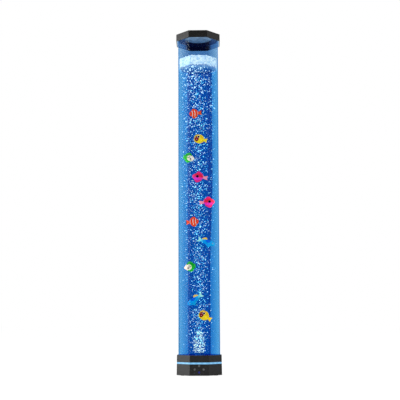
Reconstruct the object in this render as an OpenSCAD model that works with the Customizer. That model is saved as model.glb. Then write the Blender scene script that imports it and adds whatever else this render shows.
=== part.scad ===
// Bubble tube floor lamp: an eight-sided water column that stands in a lit base under a lift-off cap.
// The origin is the middle of the footprint on the floor, +Z is up and the buttons face -Y.

/* [Overall] */
// Height from the floor to the top of the cap
lamp_h = 1200; // [1150:10:1500]

/* [Base shells] */
// Width of the base's step round the tube, measured at the bottom edge
step_w = 6; // [5:0.5:10]
// How much narrower the base is at its top edge
base_draft = 2; // [0:0.5:4]
// Height of the base above the floor
base_h = 69; // [67:1:80]
// Wall of the lower shell
base_wall = 2.5; // [2.2:0.1:3]
// Width of the ledge and the rim that the lower shell turns inwards
rim_w = 8; // [7.5:0.5:9]
// Thickness of the ledge, the rim and the deck
plate_t = 3; // [2.6:0.1:3.4]
// Thickness of the bottom cover
cover_t = 3; // [2.6:0.1:3.6]
// Gap between pieces that are pushed or dropped together
fit_gap = 0.3; // [0.2:0.05:0.4]

/* [Feet and screws] */
// Height of the rubber feet
foot_h = 2; // [1.5:0.1:3]
// Bevel round the feet's soles
foot_bevel = 0.6; // [0.3:0.1:1]
// Radius of the rubber feet
foot_r = 8; // [6:0.5:9]
// Distance of the screw bosses' middles from the inner edge of the rim
boss_inset = 9; // [8.5:0.1:10]
// Radius of the screw bosses
boss_r = 5; // [4.4:0.1:5.4]
// Radius of the long screws' shanks
screw_r = 1.45; // [1.2:0.05:1.6]
// Radius of the long screws' heads
screw_head_r = 3; // [2.6:0.1:3.2]
// Height of the long screws' heads
screw_head_h = 1.6; // [1.2:0.1:1.8]
// Depth that a long screw reaches into its boss
screw_bite = 11; // [8:1:16]
// Radius of the small board screws' shanks
small_screw_r = 1; // [0.8:0.05:1.2]

/* [Light ring] */
// Height of the glowing ring's lower face above the floor
ring_z = 39.3; // [38.5:0.1:44]
// Height of the glowing ring
ring_h = 6; // [5:0.5:8]
// Thickness of the flexible light strip
strip_t = 0.6; // [0.4:0.1:1]
// Small lights on each side of the strip
ring_leds_per_side = 3; // [1:1:5]

/* [Tank] */
// Width of the tube across its flats
tube_w = 142; // [141:0.5:144]
// Wall of the tube
tube_wall = 4; // [3.5:0.1:5]
// Thickness of the tank floor
floor_t = 5; // [4:0.5:6]
// Room between the deck and the tank floor
floor_room = 6.7; // [6.5:0.1:8]
// Thickness of the rubber seal under the tube
seal_t = 2; // [1.5:0.1:3]

/* [Cap] */
// Room between the cap's skirt and the tube
cap_room = 3.75; // [3:0.05:6]
// Height of the cap
cap_h = 25.5; // [22:0.5:34]
// Wall of the cap's skirt
cap_wall = 3; // [2.4:0.1:3.6]
// Thickness of the cap's top
cap_top_t = 3; // [2.6:0.1:4]
// Thickness of the seal between the cap and the tube
cap_seal_t = 2; // [1.5:0.1:2.5]
// Depth of the ring that drops into the tube
plug_h = 10; // [8:0.5:12]
// Distance from that ring's round opening to the tube
plug_rim_w = 17; // [15:0.5:21]
// Gap between that ring and the tube
plug_gap = 0.5; // [0.4:0.1:0.8]
// Thickness of the pale disc under the cap's top
liner_t = 1.5; // [1:0.1:2]

/* [Air feed in the tank] */
// Radius of the fitting's stem through the tank floor
stem_r = 6; // [5.5:0.1:6.5]
// Radius of the fitting's flange on the tank floor
flange_r = 11; // [10:0.5:12]
// Thickness of the fitting's flange
flange_t = 3; // [2.5:0.5:4]
// Thickness of the rubber washer under the flange
washer_t = 1; // [0.8:0.1:1.5]
// Height of the nut under the tank floor
nut_h = 4; // [3.5:0.1:4.4]
// Width of the nut across its flats
nut_w = 20; // [18:0.5:20]
// Radius of the air stone
stone_r = 15; // [11:0.5:18]
// Height of the air stone
stone_h = 12; // [10:0.5:20]

/* [Tank light board] */
// Distance from the light board's edge to the tube's outer faces
led_board_gap = 21; // [17:0.5:24]
// Thickness of all circuit boards
board_t = 1.6; // [1.2:0.1:2]
// Height of the pillars that carry the light board
led_post_h = 2; // [1.5:0.1:2.2]
// Number of lights under the tank
tank_leds = 12; // [8:1:14]

/* [Buttons] */
// Radius of the round buttons
button_r = 3.6; // [3:0.1:3.8]
// Distance that a button stands out of the base
button_proud = 0.6; // [0.3:0.1:0.7]
// Travel of a button
button_travel = 0.8; // [0.4:0.1:0.9]
// Gap round a button in its hole
button_gap = 0.25; // [0.15:0.05:0.3]
// Sideways distance of an outer button from the control board's post
button_inset = 10; // [9:0.5:11]
// Height of the two outer buttons above the floor
button_low_z = 22.5; // [21.5:0.5:25]
// Height of the top button above the floor
button_top_z = 34; // [33.5:0.1:34.3]
// Height of the dark window above the floor
window_z = 12.8; // [12.6:0.1:13]
// Depth of the room between the front wall and the control board
board_room = 8; // [7.5:0.1:9]

/* [Power inlet] */
// Height of the power inlet above the floor
jack_z = 22; // [19:0.5:25]
// Radius of the inlet's socket
socket_r = 3; // [2.8:0.1:3.3]
// Radius of the inlet's centre pin
jack_pin_r = 1.05; // [0.9:0.05:1.3]
// Depth of the inlet's socket
socket_depth = 9.5; // [8.5:0.5:10]

/* [Air pump] */
// Length of the pump case
pump_l = 84; // [80:1:88]
// Depth of the pump case from front to back
pump_w = 38; // [36:1:40]
// Height of the pump case without its lid
pump_h = 27; // [26.5:0.5:28]
// Wall of the pump case
pump_wall = 2; // [1.6:0.1:2.2]
// Room between the pump case and the rear screw bosses
pump_back_room = 4.4; // [2.5:0.1:5]
// Height of the rubber blocks under the pump
pump_foot_h = 3; // [2.5:0.1:3.5]
// Radius of the arm's pivot pin
arm_pin_r = 1.5; // [1.2:0.1:1.8]

/* [Air hose] */
// Outer radius of the air hose
hose_r = 2.5; // [2.3:0.1:2.8]
// Inner radius of the air hose
hose_bore_r = 1.5; // [1.4:0.05:1.6]
// Radius of the spigots that the hose is pushed on
spigot_r = 1.35; // [1.2:0.05:1.35]
// Length of a spigot
spigot_l = 8; // [6:0.5:9]
// Radius of the wiring
lead_r = 1.1; // [0.8:0.1:1.3]

/* [Fish] */
// Depth between two rows of fish
fish_row = 14; // [13:0.5:15]
// Distance of the first row from the front wall
fish_front = 11; // [9:0.5:12]
// Length of a banded fish
banded_l = 44; // [36:1:46]
// Length of a round-headed fish
round_l = 47; // [40:1:48]
// Length of a pale-bellied fish
pale_l = 41; // [36:1:43]
// Length of a rosy fish
rosy_l = 54; // [46:1:56]
// Length of a slender fish
slender_l = 62; // [50:1:64]
// Thickness of a fish body
fish_t = 9; // [7:0.5:10]
// Thickness of a fin
fin_t = 1.6; // [1.2:0.1:2]

/* [Hidden] */
$fn = 48;

// Pieces stay this far past a face that they are cut through
over = 1;
// Seated moving pieces rest this far from what carries them
rest_gap = 0.3;
// Screws, pins and nuts turn with this gap round them
thread_gap = 0.05;
// Thin screws and leads pass through holes with this gap round them
pass_gap = 0.2;
// Width and depth of the slots in the screws' heads
slot_w = 0.8;
slot_d = 0.7;

black = "#24211f";
dark_grey = "#3c3a38";
clear_blue = [0.55, 0.8, 1, 0.25];
copper = "#b5683a";
steel = "#b9bcc0";
board_green = "#1f5a3a";

cover_top = foot_h + cover_t;
ring_top = ring_z + ring_h;
deck_top = ring_top + plate_t;
base_w = tube_w + 2 * step_w;
rim_in_w = base_w - 2 * rim_w;
tube_in_w = tube_w - 2 * tube_wall;
cap_w = tube_w + 2 * (cap_room + cap_wall);
tube_z = deck_top + seal_t;
floor_z = deck_top + floor_room;
tank_z = floor_z + floor_t;
cap_z = lamp_h - cap_h;
cap_ceiling = lamp_h - cap_top_t;
tube_top = cap_ceiling - cap_seal_t - rest_gap;
boss_ring_r = rim_in_w / 2 - boss_inset;
boss_y = boss_ring_r * sin(67.5);
boss_angles = [67.5, 112.5, 247.5, 292.5];
foot_angles = [22.5, 157.5, 202.5, 337.5];

// Width of the tapering base across its flats at a height
function base_at(z) = base_w - base_draft * (z - foot_h) / (base_h - foot_h);

// Distance from the middle of an eight-sided form to its corners
function corner(w) = w / 2 / cos(22.5);

// Place on a circle round the Z axis
function on_circle(r, a) = [r * cos(a), r * sin(a)];

// Bottom cover: slots for the pump's air, and the check valve in its cradles
vent_l = 30;
vent_w = 2.5;
vent_pitch = 4.6;
vents = 5;
valve_y = -28;
valve_z = cover_top + 8;
valve_r = 4.5;
valve_l = 16;
cradle_t = 3;
cradle_rim = 2;

// Buttons and window: the innermost place of the sloping front wall sets what lies behind it
front_in = base_at(ring_z) / 2 - base_wall;
button_flange_r = button_r + 0.9;
button_flange_t = 1;
button_back = front_in - rest_gap - button_flange_t;
window_r = 3.6;
window_flange_r = 4.3;

// Length of the rim's sides
side_l = rim_in_w * tan(22.5);

// Control board, its posts and what it carries
board_y = front_in - board_room;
board_post_r = 3;
board_screw_bite = 5;
control_board_w = side_l + 0.8;
board_post_x = control_board_w / 2 - 4;
button_x = board_post_x - button_inset;
button_places = [[0, button_top_z], [-button_x, button_low_z], [button_x, button_low_z]];
control_board_low = cover_top + plate_t + 0.6;
control_board_high = button_top_z + 6;
plunger_r = 1.5;
plunger_room = 0.9;
switch_w = 6;
switch_d = 3.5;
plunger_end = board_y + switch_d - plunger_room;
chip_w = 10;
chip_t = 2;
capacitor_r = 3;
header_w = 8;
header_d = 4;
header_h = 5;

// Power inlet
jack_l = 16;
jack_face = base_at(jack_z) / 2 - 0.3;
jack_flange_t = 1.2;
jack_flange_r = 7;
jack_body_r = 5.4;
jack_tab_x = 3.2;
jack_tab_l = 3;
jack_pad_t = 2;
jack_pad_r = jack_flange_r + 2;
jack_pad_in = front_in - jack_pad_t;

// Light strip inside the ring
strip_inset = 0.5;
led_w = 3.4;
led_h = 3.4;
led_d = 1.2;

// Light board under the tank
led_board_r = tube_w / 2 - led_board_gap;
led_ring_r = led_board_r - 22;
led_post_r = 3;
led_screw_bite = 1;
led_post_ring = led_board_r - 12;
led_post_angles = [90, 210, 330];
small_head_r = 2;
small_head_h = 1.2;

// Air fitting through the tank floor
stem_room = 3;
elbow_z = ring_top - 5.5;
elbow_reach = stem_r + spigot_l;
flange_z = tank_z + washer_t;
nipple_r = 3;
nipple_h = 6;
nipple_top = flange_z + flange_t + nipple_h;

// Cap
cap_screw_angles = [0, 90, 180, 270];
plug_bore_r = tube_in_w / 2 - plug_rim_w;
cap_screw_ring = (plug_bore_r + tube_in_w / 2) / 2;
cap_screw_bite = cap_top_t * 0.6;
liner_r = plug_bore_r + 3;

// Air pump
pump_z = cover_top + pump_foot_h;
pump_floor = pump_z + pump_wall;
pump_top = pump_z + pump_h;
pump_left = -pump_l / 2;
pump_y = boss_y - boss_r - pump_back_room - pump_w;
pump_mid_y = pump_y + pump_w / 2;
pump_lid_t = 2.2;
core_h = 23;
core_d = 16;
core_back_t = 4;
core_l = 12.7;
core_x = pump_left + pump_wall + rest_gap;
leg_t = 4;
mid_leg_t = 6;
coil_t = 4;
arm_z = pump_floor + core_h / 2;
arm_t = 3;
arm_w = 12;
pivot_x = pump_left + pump_l - 12;
hub_r = 4;
magnet_l = 3.5;
magnet_h = 10;
magnet_gap = 1.5;
magnet_face = core_x + core_l + magnet_gap;
valve_block_t = 3;
bellows_x = 6;
bellows_r = 10;
outlet_x = pump_left + pump_l - 9;
outlet_z = valve_z;
ear_t = 4.4;
ear_w = 8;

// Wiring: sockets on the control board, and the depth at which leads pass behind the front bosses
pump_header_x = -8;
pump_header_z = pump_top - 6;
power_header_x = 8;
lead_hole_y = pump_y + pump_w - 8;
lead_y = -boss_y + boss_r + 4;
wire_hole_r = 4;
wire_hole = [12, lead_y + 2.4];
lights_header_z = ring_z - 2.3;

// Straight eight-sided column, its flats facing the four axes
module octagon(w, h) {
  linear_extrude(h)
    rotate(22.5)
      circle(corner(w), $fn = 8);
}

// Stretch of the base's outer form between two heights
module base_block(z_low, z_high) {
  translate([0, 0, z_low])
    linear_extrude(z_high - z_low, scale = base_at(z_high) / base_at(z_low))
      rotate(22.5)
        circle(corner(base_at(z_low)), $fn = 8);
}

// Straight eight-sided ring
module octagon_ring(w_out, w_in, h) {
  difference() {
    octagon(w_out, h);
    translate([0, 0, -over])
      octagon(w_in, h + 2 * over);
  }
}

// Puts children at several angles on a circle
module at_angles(angles, r) {
  for (a = angles)
    translate(on_circle(r, a))
      children();
}

// Turns a form that stands along +Z to lie along +Y
module along_y(x, y, z) {
  translate([x, y, z])
    rotate([-90, 0, 0])
      children();
}

// Turns a form that stands along +Z to lie along +X
module along_x(x, y, z) {
  translate([x, y, z])
    rotate([0, 90, 0])
      children();
}

// Rectangle with round corners, centred
module soft_rectangle(w, d, r) {
  square([w - 2 * r, d], center = true);
  square([w, d - 2 * r], center = true);
  for (sx = [-1, 1], sy = [-1, 1])
    translate([sx * (w / 2 - r), sy * (d / 2 - r)])
      circle(r);
}

// ---- Feet, cover and base shells ----

module feet() {
  color("#1b1b1b")
    at_angles(foot_angles, boss_ring_r)
      rotate_extrude()
        polygon([[0, 0], [foot_r - foot_bevel, 0], [foot_r, foot_bevel], [foot_r, foot_h], [0, foot_h]]);
}

module bottom_cover() {
  head_room_r = screw_head_r + fit_gap;
  vents_y = (valve_y + pump_y) / 2;
  color(black) {
    difference() {
      translate([0, 0, foot_h])
        octagon(base_w - 2 * base_wall - 2 * fit_gap, cover_t);
      at_angles(boss_angles, boss_ring_r) {
        translate([0, 0, foot_h - over])
          cylinder(r = screw_r + fit_gap, h = cover_t + 2 * over);
        translate([0, 0, foot_h - over])
          cylinder(r = head_room_r, h = screw_head_h + over);
      }
      // Slots that let the pump draw air
      for (i = [0:vents - 1])
        translate([-vent_l / 2, vents_y + (i - vents / 2) * vent_pitch, foot_h - over])
          cube([vent_l, vent_w, cover_t + 2 * over]);
    }
    // Cradles that hold the check valve
    for (side = [-1, 1])
      difference() {
        translate([side * valve_l / 4 - cradle_t / 2, valve_y - valve_r - cradle_rim, cover_top])
          cube([cradle_t, 2 * (valve_r + cradle_rim), valve_z - cover_top]);
        along_x(side * valve_l / 4 - cradle_t, valve_y, valve_z)
          cylinder(r = valve_r + thread_gap, h = 2 * cradle_t);
      }
  }
}

module cover_screws() {
  shank = cover_t - screw_head_h + screw_bite;
  slot_l = 1.4 * screw_head_r;
  color(steel)
    at_angles(boss_angles, boss_ring_r)
      translate([0, 0, foot_h])
        difference() {
          union() {
            cylinder(r = screw_head_r, h = screw_head_h);
            cylinder(r = screw_r, h = screw_head_h + shank);
          }
          translate([-slot_l / 2, -slot_w / 2, -over])
            cube([slot_l, slot_w, over + slot_d]);
          translate([-slot_w / 2, -slot_l / 2, -over])
            cube([slot_w, slot_l, over + slot_d]);
        }
}

module base_shell_lower() {
  color(dark_grey)
    difference() {
      union() {
        difference() {
          base_block(foot_h, ring_z);
          translate([0, 0, foot_h - over])
            octagon(base_w - 2 * base_wall, cover_t + over);
          translate([0, 0, foot_h])
            octagon(rim_in_w, ring_z);
          translate([0, 0, cover_top + plate_t])
            octagon(base_at(ring_z) - 2 * base_wall, ring_z - cover_top - 2 * plate_t);
        }
        // Posts for the control board
        for (side = [-1, 1])
          along_y(side * board_post_x, -base_w / 2 + base_wall / 2, button_low_z)
            cylinder(r = board_post_r, h = base_w / 2 - base_wall / 2 - board_y);
        // Flat pad behind the power inlet
        along_y(0, jack_pad_in, jack_z)
          cylinder(r = jack_pad_r, h = jack_pad_t + base_wall / 2);
      }
      for (p = button_places)
        along_y(p[0], -base_w / 2 - over, p[1])
          cylinder(r = button_r + button_gap, h = base_wall + base_draft + 2 * over);
      // Room in the rim for the top button's flange
      translate([-button_flange_r - rest_gap, -front_in, button_low_z])
        cube([2 * (button_flange_r + rest_gap), rim_w, ring_z]);
      along_y(0, -base_w / 2 - over, window_z)
        cylinder(r = window_r + thread_gap, h = base_wall + base_draft + 2 * over);
      for (side = [-1, 1])
        along_y(side * board_post_x, -board_y - board_screw_bite - over, button_low_z)
          cylinder(r = small_screw_r + thread_gap, h = board_screw_bite + 2 * over);
      along_y(0, jack_face - jack_flange_t, jack_z)
        cylinder(r = jack_flange_r + fit_gap, h = 2 * jack_flange_t);
      along_y(0, jack_pad_in - over, jack_z)
        cylinder(r = jack_body_r + fit_gap, h = jack_pad_t + base_wall + 3 * over);
    }
}

// Places and turns of the small lights along the inside of the ring
module at_ring_leds() {
  for (side = [0:7], i = [0:ring_leds_per_side - 1])
    rotate(45 * side)
      translate([0, ((i + 0.5) / ring_leds_per_side - 0.5) * side_l, ring_z + ring_h / 2])
        children();
}

module light_ring() {
  color([0.55, 0.82, 1])
    difference() {
      base_block(ring_z, ring_top);
      translate([0, 0, ring_z - over])
        octagon(rim_in_w, ring_h + 2 * over);
      at_ring_leds()
        translate([rim_in_w / 2 - over, -led_w / 2 - pass_gap, -led_h / 2 - pass_gap])
          cube([led_d + over + pass_gap / 2, led_w + 2 * pass_gap, led_h + 2 * pass_gap]);
    }
}

module ring_light_strip() {
  color("#e8e8e0")
    translate([0, 0, ring_z + strip_inset])
      octagon_ring(rim_in_w, rim_in_w - 2 * strip_t, ring_h - 2 * strip_inset);
  color("#fff2b0")
    at_ring_leds()
      translate([rim_in_w / 2, -led_w / 2, -led_h / 2])
        cube([led_d, led_w, led_h]);
}

module base_shell_upper() {
  color(dark_grey)
    difference() {
      union() {
        difference() {
          base_block(ring_top, base_h);
          translate([0, 0, deck_top])
            octagon(tube_w + 2 * fit_gap, base_h);
        }
        translate([0, 0, cover_top])
          at_angles(boss_angles, boss_ring_r)
            cylinder(r = boss_r, h = ring_top + plate_t / 2 - cover_top);
        at_angles(led_post_angles, led_post_ring)
          translate([0, 0, deck_top - plate_t / 2])
            cylinder(r = led_post_r, h = plate_t / 2 + led_post_h);
      }
      at_angles(boss_angles, boss_ring_r)
        translate([0, 0, cover_top - over])
          cylinder(r = screw_r + thread_gap, h = screw_bite + 2 * over);
      at_angles(led_post_angles, led_post_ring)
        translate([0, 0, deck_top - led_screw_bite - over])
          cylinder(r = small_screw_r + thread_gap, h = led_screw_bite + led_post_h + 2 * over);
      translate([0, 0, ring_top - over])
        cylinder(r = stem_r + stem_room, h = plate_t + 2 * over);
      translate([wire_hole[0], wire_hole[1], ring_top - over])
        cylinder(r = wire_hole_r, h = plate_t + 2 * over);
    }
}

// ---- Tank ----

module tube_seal() {
  color("#202020")
    translate([0, 0, deck_top])
      octagon_ring(tube_w, tube_in_w, seal_t);
}

module tube() {
  color(clear_blue)
    translate([0, 0, tube_z])
      octagon_ring(tube_w, tube_in_w, tube_top - tube_z);
}

module tank_floor() {
  color([0.7, 0.88, 1, 0.5])
    difference() {
      translate([0, 0, floor_z])
        octagon(tube_in_w, floor_t);
      translate([0, 0, floor_z - over])
        cylinder(r = stem_r + thread_gap, h = floor_t + 2 * over);
    }
}

module nozzle_washer() {
  color("#202020")
    translate([0, 0, tank_z])
      difference() {
        cylinder(r = flange_r, h = washer_t);
        translate([0, 0, -over])
          cylinder(r = stem_r + thread_gap, h = washer_t + 2 * over);
      }
}

module air_nozzle() {
  color("#d8dcdf")
    difference() {
      union() {
        translate([0, 0, flange_z])
          cylinder(r = flange_r, h = flange_t);
        translate([0, 0, elbow_z - stem_r / 2])
          cylinder(r = stem_r, h = flange_z - elbow_z + stem_r / 2 + flange_t / 2);
        translate([0, 0, flange_z + flange_t / 2])
          cylinder(r = nipple_r, h = flange_t / 2 + nipple_h);
        along_x(-elbow_reach, 0, elbow_z)
          cylinder(r = spigot_r, h = elbow_reach);
      }
      translate([0, 0, elbow_z])
        cylinder(r = spigot_r / 2, h = nipple_top - elbow_z + over);
      along_x(-elbow_reach - over, 0, elbow_z)
        cylinder(r = spigot_r / 2, h = elbow_reach + over);
    }
}

module nozzle_nut() {
  color("#d8dcdf")
    difference() {
      translate([0, 0, floor_z - nut_h])
        cylinder(r = nut_w / 2 / cos(30), h = nut_h, $fn = 6);
      translate([0, 0, floor_z - nut_h - over])
        cylinder(r = stem_r + thread_gap, h = nut_h + 2 * over);
    }
}

module air_stone() {
  bevel = 2;
  stone_z = flange_z + flange_t;
  color("#7f9db5")
    difference() {
      translate([0, 0, stone_z])
        rotate_extrude()
          polygon([[0, 0], [stone_r, 0], [stone_r, stone_h - bevel], [stone_r - bevel, stone_h],
                   [0, stone_h]]);
      translate([0, 0, stone_z - over])
        cylinder(r = nipple_r + thread_gap, h = nipple_h + rest_gap + over);
    }
}

module tank_light_board() {
  color("#f2f2ee")
    difference() {
      translate([0, 0, deck_top + led_post_h])
        cylinder(r = led_board_r, h = board_t, $fn = 96);
      translate([0, 0, deck_top])
        cylinder(r = nut_w / 2 / cos(30) + over, h = led_post_h + board_t + over);
      at_angles(led_post_angles, led_post_ring)
        translate([0, 0, deck_top])
          cylinder(r = small_screw_r + pass_gap, h = led_post_h + board_t + over);
    }
}

module tank_lights() {
  light_w = 5;
  light_h = 1.4;
  color("#fff6cf")
    for (i = [0:tank_leds - 1])
      rotate(360 * (i + 0.5) / tank_leds)
        translate([led_ring_r - light_w / 2, -light_w / 2, deck_top + led_post_h + board_t])
          cube([light_w, light_w, light_h]);
}

// Small screw with a slotted head, its tip at 0
module small_screw(shank) {
  slot_l = 1.4 * small_head_r;
  cylinder(r = small_screw_r, h = shank + thread_gap);
  translate([0, 0, shank])
    difference() {
      cylinder(r = small_head_r, h = small_head_h);
      translate([-slot_l / 2, -slot_w / 2, small_head_h - slot_d])
        cube([slot_l, slot_w, slot_d + over]);
    }
}

module board_screws() {
  light_shank = led_screw_bite + led_post_h + board_t;
  control_shank = board_screw_bite + board_t;
  color(steel) {
    at_angles(led_post_angles, led_post_ring)
      translate([0, 0, deck_top - led_screw_bite])
        small_screw(light_shank);
    for (side = [-1, 1])
      along_y(side * board_post_x, -board_y - board_screw_bite, button_low_z)
        small_screw(control_shank);
  }
}

// ---- Cap ----

module cap_shell() {
  rib_in = tube_w / 2 + rest_gap;
  rib_t = 2;
  color(black)
    difference() {
      union() {
        difference() {
          translate([0, 0, cap_z])
            octagon(cap_w, cap_h);
          translate([0, 0, cap_z - over])
            octagon(cap_w - 2 * cap_wall, cap_h - cap_top_t + over);
        }
        // Ribs that centre the cap on the tube, one on each side
        for (side = [0:7])
          rotate(45 * side)
            translate([rib_in, -rib_t / 2, cap_z + rib_t])
              cube([cap_w / 2 - cap_wall / 2 - rib_in, rib_t, cap_ceiling - cap_z - rib_t / 2]);
      }
      at_angles(cap_screw_angles, cap_screw_ring)
        translate([0, 0, cap_ceiling - over])
          cylinder(r = screw_r + thread_gap, h = over + cap_screw_bite + rest_gap);
    }
}

module cap_liner() {
  color("#dfefff")
    translate([0, 0, cap_ceiling - liner_t])
      cylinder(r = liner_r, h = liner_t, $fn = 96);
}

module cap_plug() {
  color("#101828")
    difference() {
      translate([0, 0, cap_ceiling - plug_h])
        octagon(tube_in_w - 2 * plug_gap, plug_h);
      translate([0, 0, cap_ceiling - plug_h - over])
        cylinder(r = plug_bore_r, h = plug_h + 2 * over, $fn = 96);
      translate([0, 0, cap_ceiling - liner_t])
        cylinder(r = liner_r + thread_gap, h = liner_t + over, $fn = 96);
      at_angles(cap_screw_angles, cap_screw_ring) {
        translate([0, 0, cap_ceiling - plug_h - over])
          cylinder(r = screw_r + fit_gap, h = plug_h + 2 * over);
        translate([0, 0, cap_ceiling - plug_h - over])
          cylinder(r = screw_head_r + fit_gap, h = screw_head_h + over);
      }
    }
}

module cap_seal() {
  color("#202020")
    translate([0, 0, cap_ceiling - cap_seal_t])
      octagon_ring(tube_w, tube_in_w, cap_seal_t);
}

module cap_screws() {
  color(steel)
    at_angles(cap_screw_angles, cap_screw_ring)
      translate([0, 0, cap_ceiling - plug_h]) {
        cylinder(r = screw_head_r, h = screw_head_h);
        cylinder(r = screw_r, h = plug_h + cap_screw_bite);
      }
}

// ---- Controls and power inlet ----

module control_board() {
  color(board_green)
    difference() {
      translate([-control_board_w / 2, -board_y, control_board_low])
        cube([control_board_w, board_t, control_board_high - control_board_low]);
      for (side = [-1, 1])
        along_y(side * board_post_x, -board_y - over, button_low_z)
          cylinder(r = small_screw_r + pass_gap, h = board_t + 2 * over);
    }
}

module switch_bodies() {
  color("#2a2a2a")
    for (p = button_places)
      difference() {
        translate([p[0] - switch_w / 2, -board_y - switch_d, p[1] - switch_w / 2])
          cube([switch_w, switch_d, switch_w]);
        along_y(p[0], -board_y - switch_d - over, p[1])
          cylinder(r = plunger_r + pass_gap, h = over + plunger_room + button_travel + rest_gap);
      }
}

// Button with its flange behind the wall, and the plunger that it pushes
module button(x, z) {
  face = base_at(z) / 2 + button_proud;
  color("#6d6b69") {
    along_y(x, -face, z)
      cylinder(r = button_r, h = face - button_back);
    along_y(x, -button_back - button_flange_t, z)
      cylinder(r = button_flange_r, h = button_flange_t);
  }
  color("#e6e6e6")
    along_y(x, -button_back, z)
      cylinder(r = plunger_r, h = button_back - plunger_end);
}

module button_top() {
  button(0, button_top_z);
}

module button_left() {
  button(-button_x, button_low_z);
}

module button_right() {
  button(button_x, button_low_z);
}

// Chip, two lead sockets and a capacitor on the back of the control board
module board_parts() {
  back = -board_y + board_t;
  color("#181818") {
    translate([pump_header_x - chip_w / 2, back, jack_z - chip_w])
      cube([chip_w, chip_t, chip_w]);
    for (p = [[power_header_x, jack_z], [pump_header_x, pump_header_z]])
      translate([p[0] - header_w / 2, back, p[1] - header_h / 2])
        cube([header_w, header_d, header_h]);
  }
  color("#2a3a8a")
    along_y(power_header_x, back, pump_header_z + capacitor_r / 3)
      cylinder(r = capacitor_r, h = 3 * capacitor_r);
}

// Receiver for the remote control, with its round lens towards the window
module remote_receiver() {
  receiver_w = 6;
  receiver_d = 3;
  lens_r = 2;
  lens_d = 1.6;
  color("#141418") {
    translate([-receiver_w / 2, -board_y - receiver_d, window_z - receiver_w / 2])
      cube([receiver_w, receiver_d, receiver_w]);
    along_y(0, -board_y - receiver_d - lens_d, window_z)
      cylinder(r = lens_r, h = lens_d + thread_gap);
  }
}

module sensor_window() {
  recess = 0.1;
  flange_t = 0.8;
  face = base_at(window_z) / 2 - recess;
  flange_y = front_in - recess;
  color("#141a66") {
    along_y(0, -face, window_z)
      cylinder(r = window_r, h = face - flange_y + flange_t / 2);
    along_y(0, -flange_y, window_z)
      cylinder(r = window_flange_r, h = flange_t);
  }
}

module power_jack() {
  tab_w = 2.4;
  tab_t = 0.8;
  color("#161616")
    difference() {
      union() {
        along_y(0, jack_face - jack_flange_t, jack_z)
          cylinder(r = jack_flange_r, h = jack_flange_t);
        along_y(0, jack_face - jack_l, jack_z)
          cylinder(r = jack_body_r, h = jack_l - jack_flange_t / 2);
      }
      along_y(0, jack_face - socket_depth, jack_z)
        cylinder(r = socket_r, h = socket_depth + over);
      along_y(0, jack_face - jack_l - over, jack_z)
        cylinder(r = jack_pin_r + thread_gap, h = jack_l);
    }
  color(steel)
    for (side = [-1, 1])
      translate([side * jack_tab_x - tab_w / 2, jack_face - jack_l - jack_tab_l, jack_z - tab_t / 2])
        cube([tab_w, jack_tab_l, tab_t]);
}

module jack_pin() {
  color(steel)
    along_y(0, jack_face - jack_l - 2, jack_z)
      cylinder(r = jack_pin_r, h = jack_l + over);
}

module jack_nut() {
  jack_nut_r = 8;
  jack_nut_t = 2.5;
  color(steel)
    difference() {
      along_y(0, jack_pad_in - jack_nut_t, jack_z)
        cylinder(r = jack_nut_r, h = jack_nut_t, $fn = 6);
      along_y(0, jack_pad_in - jack_nut_t - over, jack_z)
        cylinder(r = jack_body_r + thread_gap, h = jack_nut_t + 2 * over);
    }
}

// ---- Air pump ----

module pump_case() {
  ear_in = arm_w / 2 + rest_gap;
  color("#dcdcd4")
    difference() {
      union() {
        difference() {
          translate([pump_left, pump_y, pump_z])
            cube([pump_l, pump_w, pump_h]);
          translate([pump_left + pump_wall, pump_y + pump_wall, pump_floor])
            cube([pump_l - 2 * pump_wall, pump_w - 2 * pump_wall, pump_h]);
        }
        // Ears that carry the arm's pin
        for (side = [-1, 1])
          translate([pivot_x - ear_w / 2, pump_mid_y + side * (ear_in + ear_t / 2) - ear_t / 2,
                     pump_z + pump_wall / 2])
            cube([ear_w, ear_t, arm_z + hub_r - pump_z]);
      }
      along_y(pivot_x, pump_y + pump_wall, arm_z)
        cylinder(r = arm_pin_r + thread_gap, h = pump_w - 2 * pump_wall);
      along_y(outlet_x, pump_y - over, outlet_z)
        cylinder(r = spigot_r + pass_gap, h = pump_wall + 2 * over);
      along_x(pump_left - over, lead_hole_y, pump_header_z)
        cylinder(r = lead_r + pass_gap, h = pump_wall + 2 * over);
    }
}

// Lid with a frame under it that drops into the case
module pump_lid() {
  frame = 1.5;
  inset = pump_wall + fit_gap;
  color("#dcdcd4")
    difference() {
      union() {
        translate([pump_left, pump_y, pump_top])
          cube([pump_l, pump_w, pump_lid_t]);
        translate([pump_left + inset, pump_y + inset, pump_top - frame])
          cube([pump_l - 2 * inset, pump_w - 2 * inset, frame + pump_lid_t / 2]);
      }
      translate([pump_left + inset + frame, pump_y + inset + frame, pump_top - frame - over])
        cube([pump_l - 2 * (inset + frame), pump_w - 2 * (inset + frame), frame + over]);
    }
}

module pump_feet() {
  block_r = 5;
  edge = block_r + 3;
  color("#262626")
    for (sx = [-1, 1], sy = [-1, 1])
      translate([sx * (pump_l / 2 - edge), pump_mid_y + sy * (pump_w / 2 - edge), cover_top])
        cylinder(r = block_r, h = pump_foot_h);
}

module pump_core() {
  color("#8b8d90")
    translate([core_x, pump_mid_y - core_d / 2, pump_floor]) {
      cube([core_back_t, core_d, core_h]);
      cube([core_l, core_d, leg_t]);
      translate([0, 0, core_h - leg_t])
        cube([core_l, core_d, leg_t]);
      translate([0, 0, (core_h - mid_leg_t) / 2])
        cube([core_l, core_d, mid_leg_t]);
    }
}

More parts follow.
